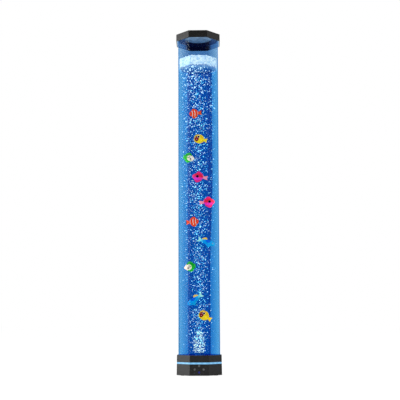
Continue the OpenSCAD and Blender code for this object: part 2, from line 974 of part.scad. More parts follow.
module pump_coil() {
  hole_gap = 0.15;
  coil_x = core_x + core_back_t + pass_gap;
  coil_l = core_l - core_back_t - 1.4;
  color(copper)
    along_x(coil_x, pump_mid_y, arm_z)
      linear_extrude(coil_l)
        difference() {
          soft_rectangle(mid_leg_t + 2 * coil_t, core_d + 2 * coil_t, 2.5);
          square([mid_leg_t + 2 * hole_gap, core_d + 2 * hole_gap], center = true);
        }
}

module pump_arm() {
  tip_x = magnet_face + magnet_l;
  color("#e9e4d6")
    difference() {
      union() {
        translate([tip_x, pump_mid_y - arm_w / 2, arm_z - arm_t / 2])
          cube([pivot_x - tip_x, arm_w, arm_t]);
        along_y(pivot_x, pump_mid_y - arm_w / 2, arm_z)
          cylinder(r = hub_r, h = arm_w);
      }
      along_y(pivot_x, pump_mid_y - arm_w / 2 - over, arm_z)
        cylinder(r = arm_pin_r + thread_gap, h = arm_w + 2 * over);
    }
}

module arm_magnet() {
  color("#55585c")
    translate([magnet_face, pump_mid_y - arm_w / 2, arm_z - magnet_h / 2])
      cube([magnet_l, arm_w, magnet_h]);
}

module arm_pin() {
  reach = arm_w / 2 + rest_gap + ear_t;
  color(steel)
    along_y(pivot_x, pump_mid_y - reach, arm_z)
      cylinder(r = arm_pin_r, h = 2 * reach);
}

module bellows() {
  low = pump_floor + valve_block_t;
  high = arm_z - arm_t / 2 - rest_gap;
  fold = (high - low) / 5;
  groove = 2;
  top_r = 4;
  color("#2b2b2b")
    translate([bellows_x, pump_mid_y, low])
      rotate_extrude()
        polygon([[0, 0], [bellows_r, 0], [bellows_r, fold], [bellows_r - groove, 1.5 * fold],
                 [bellows_r, 2 * fold], [bellows_r, 3 * fold], [bellows_r - groove, 3.5 * fold],
                 [bellows_r - groove, 4 * fold], [top_r, 5 * fold], [0, 5 * fold]]);
}

// Plate under the bellows, with a duct to the spigot that the hose is pushed on
module valve_block() {
  front = pump_y + pump_wall + rest_gap;
  rim = 2;
  half_l = bellows_r + rim;
  half_w = bellows_r + 1;
  duct_w = 4.5;
  duct_h = 6.5;
  color("#3b4a55")
    difference() {
      union() {
        translate([bellows_x - half_l, pump_mid_y - half_w, pump_floor])
          cube([2 * half_l, 2 * half_w, valve_block_t]);
        translate([bellows_x, front, pump_floor])
          cube([outlet_x + duct_w - bellows_x, duct_w, duct_h]);
        translate([bellows_x, front, pump_floor])
          cube([half_l, pump_mid_y - bellows_r - front, valve_block_t]);
        along_y(outlet_x, pump_y - spigot_l, outlet_z)
          cylinder(r = spigot_r, h = spigot_l + front - pump_y + over);
      }
      along_y(outlet_x, pump_y - spigot_l - over, outlet_z)
        cylinder(r = spigot_r / 2, h = spigot_l + front - pump_y + 2 * over);
    }
}

// ---- Check valve, hoses and wiring ----

// Check valve: a barrel with a spigot at each end and a bore right through
module check_valve() {
  half = valve_l / 2;
  tip = half + spigot_l;
  bore_r = 0.5;
  neck_r = spigot_r + 1.05;
  slope = 2;
  color("#e4eef4")
    along_x(0, valve_y, valve_z)
      rotate_extrude()
        polygon([[bore_r, -tip], [spigot_r, -tip], [spigot_r, -half], [neck_r, -half],
                 [valve_r, -half + slope], [valve_r, half - slope], [neck_r, half],
                 [spigot_r, half], [spigot_r, tip], [bore_r, tip]]);
}

function unit(v) = v / norm(v);

// Places along a turn from axis u towards axis v about a centre
function turn(centre, u, v, r, a_end, n) =
  [for (i = [0:n]) centre + r * (cos(a_end * i / n) * u + sin(a_end * i / n) * v)];

// Direction of a route at each of its places
function heading(route, i) =
  unit(route[min(i + 1, len(route) - 1)] - route[max(i - 1, 0)]);

// Places round a route that lies in a plane with the given normal
function pipe_points(route, normal, r, n) =
  [for (i = [0:len(route) - 1], j = [0:n - 1])
    let(t = heading(route, i), a = 360 * j / n)
      route[i] + r * (cos(a) * normal + sin(a) * cross(t, normal))];

// Triangles between the rings of a pipe, from place `first` on
function pipe_sides(rings, n, first, outward) =
  [for (i = [0:rings - 2], j = [0:n - 1], k = [0, 1])
    let(a = first + i * n + j, b = first + i * n + (j + 1) % n,
        tri = k == 0 ? [a, b + n, b] : [a, a + n, b + n])
      outward ? tri : [tri[0], tri[2], tri[1]]];

// Solid round lead along a flat route
module lead(route, normal, r, n = 8) {
  rings = len(route);
  points = pipe_points(route, normal, r, n);
  last = (rings - 1) * n;
  starts = [for (j = [1:n - 2]) [0, j, j + 1]];
  ends = [for (j = [1:n - 2]) [last, last + j + 1, last + j]];
  polyhedron(points, concat(pipe_sides(rings, n, 0, true), starts, ends));
}

// Hollow hose along a flat route
module hose(route, normal, n = 12) {
  rings = len(route);
  far = rings * n;
  last = (rings - 1) * n;
  points = concat(pipe_points(route, normal, hose_r, n), pipe_points(route, normal, hose_bore_r, n));
  starts = [for (j = [0:n - 1], k = [0, 1])
    let(b = (j + 1) % n) k == 0 ? [j, b, far + b] : [j, far + b, far + j]];
  ends = [for (j = [0:n - 1], k = [0, 1])
    let(b = (j + 1) % n)
      k == 0 ? [last + j, far + last + b, last + b] : [last + j, far + last + j, far + last + b]];
  polyhedron(points, concat(pipe_sides(rings, n, 0, true), pipe_sides(rings, n, far, false), starts,
                            ends));
}

module hose_from_pump() {
  valve_end = valve_l / 2 + rest_gap;
  bend = outlet_x - valve_l / 2 - spigot_l;
  centre = [outlet_x - bend, valve_y + bend, outlet_z];
  route = concat([[outlet_x, pump_y - rest_gap, outlet_z]],
                 turn(centre, [1, 0, 0], [0, -1, 0], bend, 90, 10),
                 [[valve_end, valve_y, outlet_z]]);
  color([0.85, 0.92, 0.95])
    hose(route, [0, 0, 1]);
}

module hose_to_tank() {
  start = [-valve_l / 2 - rest_gap, valve_y, valve_z];
  low = [-valve_l / 2 - spigot_l, valve_y, valve_z];
  high = [-elbow_reach, 0, elbow_z];
  lift = unit(high + [low[0] - high[0], 0, 0] - low);
  bend = norm(high + [low[0] - high[0], 0, 0] - low) / 2;
  centre = low + bend * lift;
  route = concat([start], turn(centre, -lift, [-1, 0, 0], bend, 180, 18),
                 [[-stem_r - rest_gap, 0, elbow_z]]);
  color([0.85, 0.92, 0.95])
    hose(route, unit(cross([1, 0, 0], lift)));
}

// Route with its corners rounded, from the corners and the length that each curve takes off them
function rounded(points, cut, n = 4) =
  concat([points[0]],
         [for (i = [1:len(points) - 2], k = [0:n])
           let(p = points[i], a = p + cut * unit(points[i - 1] - p),
               b = p + cut * unit(points[i + 1] - p), s = k / n)
             (1 - s) * (1 - s) * a + 2 * s * (1 - s) * p + s * s * b],
         [points[len(points) - 1]]);

module lead_power() {
  gap_y = pump_y + pump_w + pump_back_room / 2;
  side_x = pump_l / 2 + 8;
  color("#b02020")
    lead(rounded([[jack_tab_x, jack_face - jack_l - jack_tab_l, jack_z], [jack_tab_x, gap_y, jack_z],
                  [side_x, gap_y, jack_z], [side_x, lead_y, jack_z], [power_header_x, lead_y, jack_z],
                  [power_header_x, -board_y + board_t + header_d, jack_z]], 3.5),
         [0, 0, 1], lead_r);
}

module lead_pump() {
  side_x = pump_left - 8;
  z = pump_header_z;
  color("#c8c020")
    lead(rounded([[pump_header_x, -board_y + board_t + header_d, z], [pump_header_x, lead_y, z],
                  [side_x, lead_y, z], [side_x, lead_hole_y, z],
                  [pump_left + pump_wall + 2, lead_hole_y, z]], 4),
         [0, 0, 1], lead_r);
}

module lead_lights() {
  y0 = -board_y + board_t;
  z0 = lights_header_z;
  x = wire_hole[0];
  strip_y = -rim_in_w / 2 + strip_t;
  strip_z = ring_z + ring_h / 2;
  turn_y = y0 + 4 * lead_r;
  color("#2050b0") {
    lead(rounded([[x, y0, z0], [x, y0 + 7 * lead_r, z0], [x, wire_hole[1], ring_z],
                  [x, wire_hole[1], deck_top + led_post_h]], 2.5),
         [1, 0, 0], lead_r);
    lead(rounded([[-x, y0, z0], [-x, turn_y, z0], [-x, turn_y, strip_z], [-x, strip_y, strip_z]], 1.8),
         [1, 0, 0], lead_r);
  }
}

// ---- Fish ----
// A fish lies along +X from its nose at 0, and is moved so that its middle sits on its place.

// Share of the full girth, at a share of the body's length from the nose
function girth(t, skew, full) = pow(max(sin(180 * pow(t, skew)), 0), full);

// Swelling body with a blunt nose and a narrow root for the tail
module fish_body(body_l, tall, thick, skew, full, root_h) {
  n = 12;
  m = 9;
  nose = 1.2;
  rings = [for (i = [0:m])
    let(t = 0.02 + 0.97 * i / m)
      [t * body_l, tall / 2 * girth(t, skew, full) + nose * (1 - t) + root_h * t,
       (thick / 2 - 1) * girth(t, skew, full) + 1]];
  points = [for (r = rings, j = [0:n - 1]) [r[0], r[2] * cos(360 * j / n), r[1] * sin(360 * j / n)]];
  last = m * n;
  starts = [for (j = [1:n - 2]) [0, j, j + 1]];
  ends = [for (j = [1:n - 2]) [last, last + j + 1, last + j]];
  polyhedron(points, concat(pipe_sides(m + 1, n, 0, true), starts, ends));
}

// Upright fin from its outline in X and Z
module fin(outline) {
  translate([0, fin_t / 2, 0])
    rotate([90, 0, 0])
      linear_extrude(fin_t)
        polygon(outline);
}

// Forked tail from the body's root to the end of the fish
module tail(root_x, end_x, root_h, spread, notch) {
  fin([[root_x - 2, -root_h], [root_x - 2, root_h], [root_x + 3, root_h + 1],
       [end_x - 2, spread / 2], [end_x, spread / 2 - 2], [end_x - notch, 0],
       [end_x, -spread / 2 + 2], [end_x - 2, -spread / 2], [root_x + 3, -root_h - 1]]);
}

// Fin along the back, mirrored for one under the belly
module back_fin(from_x, to_x, tall, rise) {
  span = to_x - from_x;
  fin([[from_x, 0], [from_x + 0.15 * span, tall / 2 + 0.7 * rise], [from_x + 0.4 * span, tall / 2 + rise],
       [from_x + 0.8 * span, tall / 2 + 0.5 * rise], [to_x, 0]]);
}

// Fins and eyes on both cheeks
module cheeks(eye_x, eye_z, eye_r, paddle_x, paddle_z, paddle_r) {
  along_y(eye_x, -fish_t / 2 + 0.4, eye_z)
    cylinder(r = eye_r, h = fish_t - 0.8, $fn = 24);
  for (side = [-1, 1])
    translate([paddle_x, side * (fish_t / 2 - 1.2), paddle_z])
      rotate([0, 0, side * 22])
        along_y(paddle_r - 1, -0.5, 0)
          cylinder(r = paddle_r, h = 1, $fn = 24);
}

// Puts a fish's middle at x and at a share of the tank's height, in a row counted from the front.
// It faces left for 1 and right for -1.
module swim(x, row, level, facing, pitch, length) {
  y = -tube_in_w / 2 + fish_front + row * fish_row;
  z = tank_z + level * (tube_top - tank_z);
  translate([x, y, z])
    mirror([facing < 0 ? 1 : 0, 0, 0])
      rotate([0, pitch, 0])
        translate([-length / 2, 0, 0])
          children();
}

module banded_fish() {
  body_l = banded_l * 0.78;
  tall = banded_l * 0.52;
  color("#e8541e") {
    fish_body(body_l, tall, fish_t, 0.75, 0.7, 3);
    tail(body_l, banded_l, 3, banded_l * 0.42, 1.5);
    back_fin(body_l * 0.22, body_l * 0.9, tall, banded_l * 0.13);
    mirror([0, 0, 1])
      back_fin(body_l * 0.35, body_l * 0.9, tall, banded_l * 0.13);
    cheeks(body_l * 0.2, tall * 0.12, 1.9, body_l * 0.42, -tall * 0.1, 3.6);
  }
}

module round_fish() {
  body_l = round_l * 0.76;
  tall = round_l * 0.58;
  color("#f2c81e") {
    fish_body(body_l, tall, fish_t, 0.7, 0.6, 2.4);
    tail(body_l, round_l, 2.4, round_l * 0.34, 2);
    back_fin(body_l * 0.4, body_l * 0.95, tall, round_l * 0.06);
    mirror([0, 0, 1])
      back_fin(body_l * 0.45, body_l * 0.95, tall, round_l * 0.06);
    cheeks(body_l * 0.3, tall * 0.2, 2.4, body_l * 0.45, -tall * 0.08, 4);
  }
}

module pale_fish() {
  body_l = pale_l * 0.84;
  tall = pale_l * 0.68;
  color("#3fae55") {
    fish_body(body_l, tall, fish_t, 0.85, 0.62, 2.5);
    tail(body_l, pale_l, 2.5, pale_l * 0.5, 1.5);
    back_fin(body_l * 0.3, body_l * 0.95, tall, pale_l * 0.1);
    mirror([0, 0, 1])
      back_fin(body_l * 0.5, body_l * 0.95, tall, pale_l * 0.08);
    cheeks(body_l * 0.24, tall * 0.1, 2, body_l * 0.46, -tall * 0.12, 3.6);
  }
}

module rosy_fish() {
  body_l = rosy_l * 0.74;
  tall = rosy_l * 0.46;
  color("#e0245e") {
    fish_body(body_l, tall, fish_t, 0.75, 0.65, 2.6);
    tail(body_l, rosy_l, 2.6, rosy_l * 0.32, 3);
    back_fin(body_l * 0.25, body_l * 0.85, tall, rosy_l * 0.12);
    mirror([0, 0, 1])
      back_fin(body_l * 0.4, body_l * 0.8, tall, rosy_l * 0.14);
    cheeks(body_l * 0.28, tall * 0.14, 2.4, body_l * 0.5, -tall * 0.08, 4);
  }
}

module slender_fish() {
  body_l = slender_l * 0.76;
  tall = slender_l * 0.24;
  color("#1f8ff0") {
    fish_body(body_l, tall, fish_t, 0.7, 0.6, 2.2);
    tail(body_l, slender_l, 2.2, slender_l * 0.3, 5);
    back_fin(body_l * 0.35, body_l * 0.8, tall, slender_l * 0.09);
    mirror([0, 0, 1])
      back_fin(body_l * 0.5, body_l * 0.85, tall, slender_l * 0.06);
    cheeks(body_l * 0.16, tall * 0.14, 1.6, body_l * 0.34, -tall * 0.1, 3);
  }
}

module fish_banded_upper() {
  swim(-9, 0, 0.743, 1, -6, banded_l)
    banded_fish();
}

module fish_banded_lower() {
  swim(-22, 1, 0.407, -1, 6, banded_l)
    banded_fish();
}

module fish_round_upper() {
  swim(8, 1, 0.664, 1, 14, round_l)
    round_fish();
}

module fish_round_lower() {
  swim(21, 1, 0.122, 1, 32, round_l)
    round_fish();
}

module fish_pale_upper() {
  swim(-34, 2, 0.608, -1, -12, pale_l)
    pale_fish();
}

module fish_pale_lower() {
  swim(-31, 2, 0.271, 1, -12, pale_l)
    pale_fish();
}

module fish_rosy_upper() {
  swim(5, 0, 0.543, 1, 8, rosy_l)
    rosy_fish();
}

module fish_rosy_lower() {
  swim(29, 2, 0.469, -1, 4, rosy_l)
    rosy_fish();
}

module fish_slender_upper() {
  swim(25, 2, 0.347, -1, -20, slender_l)
    slender_fish();
}

module fish_slender_lower() {
  swim(-13, 2, 0.173, 1, -36, slender_l)
    slender_fish();
}

feet();
bottom_cover();
cover_screws();
base_shell_lower();
light_ring();
ring_light_strip();
base_shell_upper();
tube_seal();
tube();
tank_floor();
nozzle_washer();
air_nozzle();
nozzle_nut();
air_stone();
tank_light_board();
tank_lights();
board_screws();
cap_shell();
cap_liner();
cap_plug();
cap_seal();
cap_screws();
control_board();
switch_bodies();
board_parts();
remote_receiver();
sensor_window();
button_top();
button_left();
button_right();
power_jack();
jack_pin();
jack_nut();
pump_case();
pump_lid();
pump_feet();
pump_core();
pump_coil();
pump_arm();
arm_magnet();
arm_pin();
bellows();
valve_block();
check_valve();
hose_from_pump();
hose_to_tank();
lead_power();
lead_pump();
lead_lights();
fish_banded_upper();
fish_banded_lower();
fish_round_upper();
fish_round_lower();
fish_pale_upper();
fish_pale_lower();
fish_rosy_upper();
fish_rosy_lower();
fish_slender_upper();
fish_slender_lower();
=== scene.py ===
"""Dresses the bubble tube floor lamp: moulded shells, clear tube, lit water, froth, bubbles and ten toy fish.

Lengths are millimetres, as in the part's source, until a mesh is made from them.
"""

import math

import bmesh
import bpy
import numpy as np
from mathutils import Matrix


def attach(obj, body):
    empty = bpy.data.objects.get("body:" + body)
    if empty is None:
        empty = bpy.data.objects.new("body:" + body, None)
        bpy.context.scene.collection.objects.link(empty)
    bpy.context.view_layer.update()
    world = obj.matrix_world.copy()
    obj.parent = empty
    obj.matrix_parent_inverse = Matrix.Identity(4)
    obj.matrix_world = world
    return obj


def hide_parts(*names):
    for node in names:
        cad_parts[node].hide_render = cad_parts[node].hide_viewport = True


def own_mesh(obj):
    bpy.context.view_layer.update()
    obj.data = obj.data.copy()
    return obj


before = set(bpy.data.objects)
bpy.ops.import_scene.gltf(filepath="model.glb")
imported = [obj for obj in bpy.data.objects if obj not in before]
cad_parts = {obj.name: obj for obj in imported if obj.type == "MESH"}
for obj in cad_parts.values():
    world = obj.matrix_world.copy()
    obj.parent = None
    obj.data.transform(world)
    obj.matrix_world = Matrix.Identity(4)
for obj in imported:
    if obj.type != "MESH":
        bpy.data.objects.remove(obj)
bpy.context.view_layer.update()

MM = 0.001
WHITE = (1.0, 1.0, 1.0)
CREASE = 32.0  # degrees between faces that look sharp
ARC_STEPS = 4  # parts of a rounded corner

# Base shells
BASE_W, BASE_DRAFT, BASE_H, FOOT_H = 154.0, 2.0, 69.0, 2.0
RING_Z, RING_TOP, RING_HALF_W, CHIP_SPACING, DECK_TOP = 39.3, 45.3, 76.0, 19.05, 48.3
BASE_WALL, COVER_T, PLATE_T, RIM_IN_W, DECK_HOLE_R = 2.5, 3.0, 3.0, 138.0, 9.0
BUTTON_PLACES = {"button_top": (0.0, 34.0), "button_left": (-14.98, 22.5), "button_right": (14.98, 22.5)}
BUTTON_R, BUTTON_PROUD, BUTTON_FLANGE_Y, BUTTON_STEM_Y = 3.6, 0.6, 72.64, 68.54
WINDOW_R, WINDOW_Z = 3.6, 12.8
JACK_Z, JACK_R = 22.0, 7.0
BELLOWS_X, BELLOWS_Y, BELLOWS_LOW, BELLOWS_HIGH = 6.0, 27.03, 13.0, 19.68

# Tube, tank and cap
TUBE_W, TUBE_IN_W, TUBE_Z, TUBE_TOP = 142.0, 134.0, 50.3, 1194.7
CAP_W, CAP_WALL, CAP_Z, CAP_CEILING, LAMP_H = 155.5, 3.0, 1174.5, 1197.0, 1200.0
CAP_RIB_X, CAP_RIB_HALF_L = 73.2, 1.9
STONE_TOP, LIGHT_RING_R, LIGHTS = 76.0, 28.0, 12.0

# Water: the froth lies on it, and a column of painted shade, a darker blue film, runs up the middle behind the fish
WATER_W, WATER_Z, WATER_TOP = 133.6, 60.4, 1095.0
GAP_Z, GAP_TOP = 1095.4, 1186.6
FOAM_LOW, FOAM_TOP = 1080.0, 1112.0
CORE_HALF_W, CORE_SPREAD, CORE_FRONT_Y, CORE_BACK_Y = 39.0, 10.0, -20.0, 24.0
# Colour of the painted shade that the column lays on all that is seen through it
CORE_SHADE = (0.48, 0.70, 0.84)


def base_at(z):
    """Half width of the tapering base at a height: it narrows evenly from the floor to the top edge."""
    return (BASE_W - BASE_DRAFT * (z - FOOT_H) / (BASE_H - FOOT_H)) / 2


def add(name, data):
    """Puts an object with this data into the scene."""
    made = bpy.data.objects.new(name, data)
    bpy.context.scene.collection.objects.link(made)
    return made


# ---- Camera: the photograph's viewing angle, low down and tilted up along the tube ----

PHOTO_PX, FOCAL_PX, SENSOR_W = 400.0, 836.56, 36.0

camera = add("camera", bpy.data.cameras.new("camera"))
camera.data.sensor_width = SENSOR_W
camera.data.lens = FOCAL_PX * SENSOR_W / PHOTO_PX
camera.data.shift_x = 1.266 / PHOTO_PX
camera.data.clip_end = 100.0
camera.matrix_world = (
    Matrix.Translation((0.0373, -2.9133, 0.1732))
    @ Matrix.Rotation(math.radians(0.734), 4, "Z")
    @ Matrix.Rotation(math.radians(90.0 + 8.416), 4, "X")
    @ Matrix.Rotation(math.radians(-0.245), 4, "Z")
)
bpy.context.scene.camera = camera
bpy.context.scene.view_settings.view_transform = "Standard"


# ---- Shader nodes written as expressions ----


def maths(operation):
    """Method that adds the Math node of this operation, with the wire itself as its first value."""

    def method(wire, *others):
        return wire.finish.node("Math", {"operation": operation}, dict(enumerate((wire, *others))))

    return method


class Wire:
    """A number on its way through a material: + - * / ** and comparisons add the Math nodes that work it out."""

    def __init__(self, finish, socket):
        self.finish, self.socket = finish, socket

    __add__ = __radd__ = maths("ADD")
    __mul__ = __rmul__ = maths("MULTIPLY")
    __sub__, __truediv__, __pow__ = maths("SUBTRACT"), maths("DIVIDE"), maths("POWER")
    __gt__, __lt__, __abs__ = maths("GREATER_THAN"), maths("LESS_THAN"), maths("ABSOLUTE")
    most, least, cos, tan = maths("MAXIMUM"), maths("MINIMUM"), maths("COSINE"), maths("TANGENT")
    angle_from, wrap = maths("ARCTAN2"), maths("WRAP")

    def __rsub__(self, other):
        return self.finish.node("Math", {"operation": "SUBTRACT"}, {0: other, 1: self})

    def step(self, low, high):
        """Rises smoothly from 0 to 1 as the number goes from low to high."""
        return self.finish.node(
            "MapRange", {"interpolation_type": "SMOOTHSTEP"}, {0: self, 1: low, 2: high, 3: 0.0, 4: 1.0}
        )


def shade_of(colour, share, lift=0.0):
    """A colour with each part multiplied by a share and raised a little."""
    return tuple(share * part + lift for part in colour)


class Finish:
    """Node tree of a new material or world, and the short ways in which this object's finishes are written."""

    def __init__(self, name, kind="Material"):
        self.owner = {"Material": bpy.data.materials, "World": bpy.data.worlds}[kind].new(name)
        self.owner.use_nodes = True
        self.tree, self.end = self.owner.node_tree, "ShaderNodeOutput" + kind
        self.tree.nodes.clear()

    def node(self, kind, settings=None, sockets=None, out=0):
        """Adds a node: its settings come first, then the values or wires of its sockets."""
        made = self.tree.nodes.new("ShaderNode" + kind)
        for key, value in (settings or {}).items():
            setattr(made, key, value)
        for key, value in (sockets or {}).items():
            socket = made.inputs[key]
            if isinstance(value, Wire):
                self.tree.links.new(value.socket, socket)
            elif socket.type == "RGBA" and len(value) == 3:
                socket.default_value = (*value, 1.0)
            else:
                socket.default_value = value
        return Wire(self, made.outputs[out])

    def place(self):
        return self.node("TexCoord", out="Object")

    def split(self, vector):
        return [self.node("SeparateXYZ", None, {0: vector}, out=k) for k in range(3)]

    def ray(self, kind):
        """1 where light is followed along a ray of this kind."""
        return self.node("LightPath", out=f"Is {kind} Ray")

    def uv(self):
        """How far along and how far up the map a point lies."""
        return self.split(self.node("UVMap"))[:2]

    def at(self):
        """The three coordinates of a point, in millimetres."""
        return [part / MM for part in self.split(self.place())]

    def reach(self):
        """How far out a point lies: half the width of the octagon through it, in millimetres."""
        x, y, _ = self.at()
        return abs(x).most(abs(y)).most((abs(x) + abs(y)) * math.sqrt(0.5))

    def turn(self):
        """The angle of a point about the upright axis, in radians."""
        x, y, _ = self.at()
        return y.angle_from(x)

    def texture(self, kind, size, stretch, settings=None, **sockets):
        """Solid texture whose features are about this many millimetres across."""
        vector = self.node("Mapping", None, {"Vector": self.place(), "Scale": stretch})
        return self.node("Tex" + kind, settings, {"Vector": vector, "Scale": 1.0 / (size * MM), **sockets})

    def noise(self, size, detail=3.0, stretch=(1.0, 1.0, 1.0), rough=0.5):
        """Cloudy grain."""
        return self.texture("Noise", size, stretch, Detail=detail, Roughness=rough)

    def cells(self, size, feature="F1", stretch=(1.0, 1.0, 1.0)):
        """Distance within cells."""
        return self.texture("Voronoi", size, stretch, {"feature": feature})

    def mix(self, factor, first, second):
        return self.node("Mix", {"data_type": "RGBA"}, {0: factor, 6: first, 7: second}, out=2)

    def times(self, colour, gain):
        """Colour multiplied by a colour."""
        return self.node("Mix", {"data_type": "RGBA", "blend_type": "MULTIPLY"}, {0: 1.0, 6: colour, 7: gain}, out=2)

    def bump(self, height, depth, strength=1.0):
        return self.node("Bump", None, {"Height": height, "Distance": depth * MM, "Strength": strength})

    def clear(self, tint=WHITE):
        return self.node("BsdfTransparent", None, {"Color": tint})

    def depth_tint(self, colour, density):
        """Volume that lets this colour through, and more of it alone the longer the way."""
        return self.node("VolumeAbsorption", None, {"Color": colour, "Density": density})

    def shaders(self, factor, first, second):
        return self.node("MixShader", None, {0: factor, 1: first, 2: second})

    def done(self, surface, volume=None):
        out = self.tree.nodes.new(self.end)
        self.tree.links.new(surface.socket, out.inputs["Surface"])
        if volume is not None:
            self.tree.links.new(volume.socket, out.inputs["Volume"])
        return self.owner

    def surface(self, **sockets):
        """Ends the material with the main shader; a keyword stands for the socket of that name, with _ for a
        space. What has an emission colour glows by just that colour."""
        if "Emission_Color" in sockets:
            sockets["Emission_Strength"] = 1.0
        named = {key.replace("_", " "): value for key, value in sockets.items()}
        return self.done(self.node("BsdfPrincipled", None, named))


# ---- Finishes ----


def moulded(name, colour, worn, roughness=0.38, lit_within=0.0, lit_by=None):
    """Moulded plastic: fine spark-eroded grain, cloudy colour, and dust that dulls it in patches. What lies
    within the given distance of the middle, on the inner side of a skirt, gets painted light from the tank as an
    emission, which goes from the first of two colours in the middle to the second at the left and right."""
    f = Finish(name)
    cloud = f.noise(38.0, 4.0)
    fine = f.noise(0.35, 2.0)
    dust = f.noise(9.0, 5.0, rough=0.65).step(0.56, 0.78)
    base = f.mix(cloud.step(0.3, 0.7), colour, worn)
    base = f.mix(dust * 0.25, base, shade_of(worn, 0.5, 0.05))
    rough = roughness + (cloud - 0.5) * 0.1 + dust * 0.12
    sockets = {}
    # Painted light from the tank: an emission on the inner side
    if lit_within:
        inside = f.reach() < lit_within
        glow = f.mix(abs(f.at()[0]).step(36.0, 52.0), *lit_by)
        sockets = {"Emission_Color": f.mix(inside, (0.0, 0.0, 0.0), glow)}
        rough = rough + inside * 0.45
    return f.surface(Base_Color=base, Roughness=rough, Normal=f.bump(fine, 0.02, 0.6), **sockets)


def rubber(name, colour):
    """Soft rubber: matt, with a faint mottling."""
    f = Finish(name)
    grain = f.noise(0.8, 4.0)
    base = f.mix(grain, colour, shade_of(colour, 1.6, 0.004))
    return f.surface(Base_Color=base, Roughness=0.7 + grain * 0.15, Normal=f.bump(grain, 0.05))


def metal(name, colour, roughness=0.3, brushed=(1.0, 1.0, 12.0)):
    """Turned or plated metal with fine brushed lines."""
    f = Finish(name)
    lines = f.noise(1.6, 4.0, stretch=brushed)
    base = f.mix(lines, shade_of(colour, 0.75), colour)
    return f.surface(Base_Color=base, Metallic=1.0, Roughness=roughness + lines * 0.2, Normal=f.bump(lines, 0.01))


def laminate(name, colour, track):
    """Circuit board: fine glass weave under the varnish, with darker tracks."""
    f = Finish(name)
    weave = f.node("TexChecker", None, {"Vector": f.place(), "Scale": 1.0 / (0.7 * MM)}, out="Fac")
    lanes = f.cells(5.0, "DISTANCE_TO_EDGE").step(0.04, 0.08)
    base = f.mix(lanes, track, colour)
    return f.surface(Base_Color=base, Roughness=0.35 + weave * 0.06, Normal=f.bump(lanes, 0.03))


def lit_from_below(name, colour, glow):
    """Plastic over the water with painted light: an emission in slow ripples that stands in for the tank's glow."""
    f = Finish(name)
    ripple = f.cells(24.0, "SMOOTH_F1")
    shift = f.noise(30.0, 3.0)
    light = (1.0 - ripple * 0.8) * (0.75 + shift * 0.5)
    # Painted light: the ripples, as an emission
    shade = f.mix(light, (0.0, 0.0, 0.0), glow)
    base = f.mix(shift, shade_of(colour, 0.8), colour)
    return f.surface(Base_Color=base, Roughness=0.45, Emission_Color=shade)


def lit_tank_floor(name):
    """Frosted acrylic over the light board: blue, brighter over each light of the board's ring."""
    f = Finish(name)
    x, y, _ = f.at()
    off_ring = abs((x * x + y * y) ** 0.5 - LIGHT_RING_R)
    each = (f.turn() * LIGHTS).cos() * 0.45 * (1.0 - off_ring.step(1.0, 12.0))
    spots = (1.0 - off_ring.step(2.0, 26.0)) * (0.55 + each)
    frost = f.noise(1.4, 3.0)
    base = f.mix(frost, (0.25, 0.45, 0.65), (0.35, 0.55, 0.75))
    light = f.mix(spots, (0.03, 0.16, 0.42), (0.75, 1.15, 1.5))
    return f.surface(Base_Color=base, Roughness=0.5, Emission_Color=light, Normal=f.bump(frost, 0.05))


def lit_lens(name, colour, glow):
    """Small moulded light: clear dome whose middle glows more than its rim."""
    f = Finish(name)
    patch = f.noise(1.2, 2.0)
    light = f.mix(patch.step(0.35, 0.65), shade_of(glow, 0.7), glow)
    base = f.mix(patch, shade_of(colour, 0.8), colour)
    return f.surface(Base_Color=base, Roughness=0.25, Emission_Color=light)


def clear_wall(name, tint, colour, density):
    """Clear acrylic: see-through, with a soft gloss that grows towards grazing angles, and a tint in its depth."""
    f = Finish(name)
    shine = f.node("BsdfGlossy", None, {"Color": WHITE, "Roughness": 0.16})
    facing = f.node("LayerWeight", None, {"Blend": 0.5}, out="Facing")
    return f.done(f.shaders(0.003 + facing**5.0 * 0.5, f.clear(tint), shine), f.depth_tint(colour, density))


def lit_water(name, colour, density):
    """Water or moist air whose blue tint is painted light, standing in for the blue light of the tank's lamps: the
    tint deepens with the length of the way through it.
    """
    f = Finish(name)
    return f.done(f.clear(), f.depth_tint(colour, density))


def shading_film(name, tint):
    """Film round the column of painted shade in the water: what is seen through it is darkened by this colour."""
    f = Finish(name)
    return f.done(f.clear(tint))


def froth(name):
    """Froth: packed bubbles, white with pale blue gaps on top and at the wall. It carries painted light as an
    emission, and painted shade: deep blue seen from below, and bluer gaps towards its bottom.
    """
    f = Finish(name)
    z = f.at()[2]
    outer = f.reach().step(61.0, 64.5).most(z.step(FOAM_TOP - 14.0, FOAM_TOP - 8.0))
    packed = f.cells(6.5)
    lumps = f.noise(9.0, 6.0, rough=0.75)
    gaps = (packed.step(0.42, 0.72) * 0.6 + lumps.step(0.46, 0.62) * 0.6).least(1.0)
    # Painted shade: the gaps grow bluer towards the bottom of the froth
    low_fade = 1.0 - z.step(FOAM_LOW - 8.0, FOAM_LOW + 8.0) * 0.75
    shaded = (gaps * (0.55 + low_fade * 0.45)).least(1.0)
    base = f.mix(shaded, (0.85, 0.94, 1.0), (0.10, 0.34, 0.70))
    light = f.mix(shaded, (0.42, 0.40, 0.36), (0.10, 0.20, 0.28))
    # Painted shade inside and beneath, away from the wall and the top: dark navy, with its own painted light
    base = f.mix(outer, (0.04, 0.12, 0.24), base)
    light = f.mix(outer, f.mix(gaps, (0.50, 0.52, 0.62), (0.14, 0.24, 0.46)), light)
    return f.surface(Base_Color=base, Roughness=0.6, Emission_Color=light, Normal=f.bump(packed, 0.8))


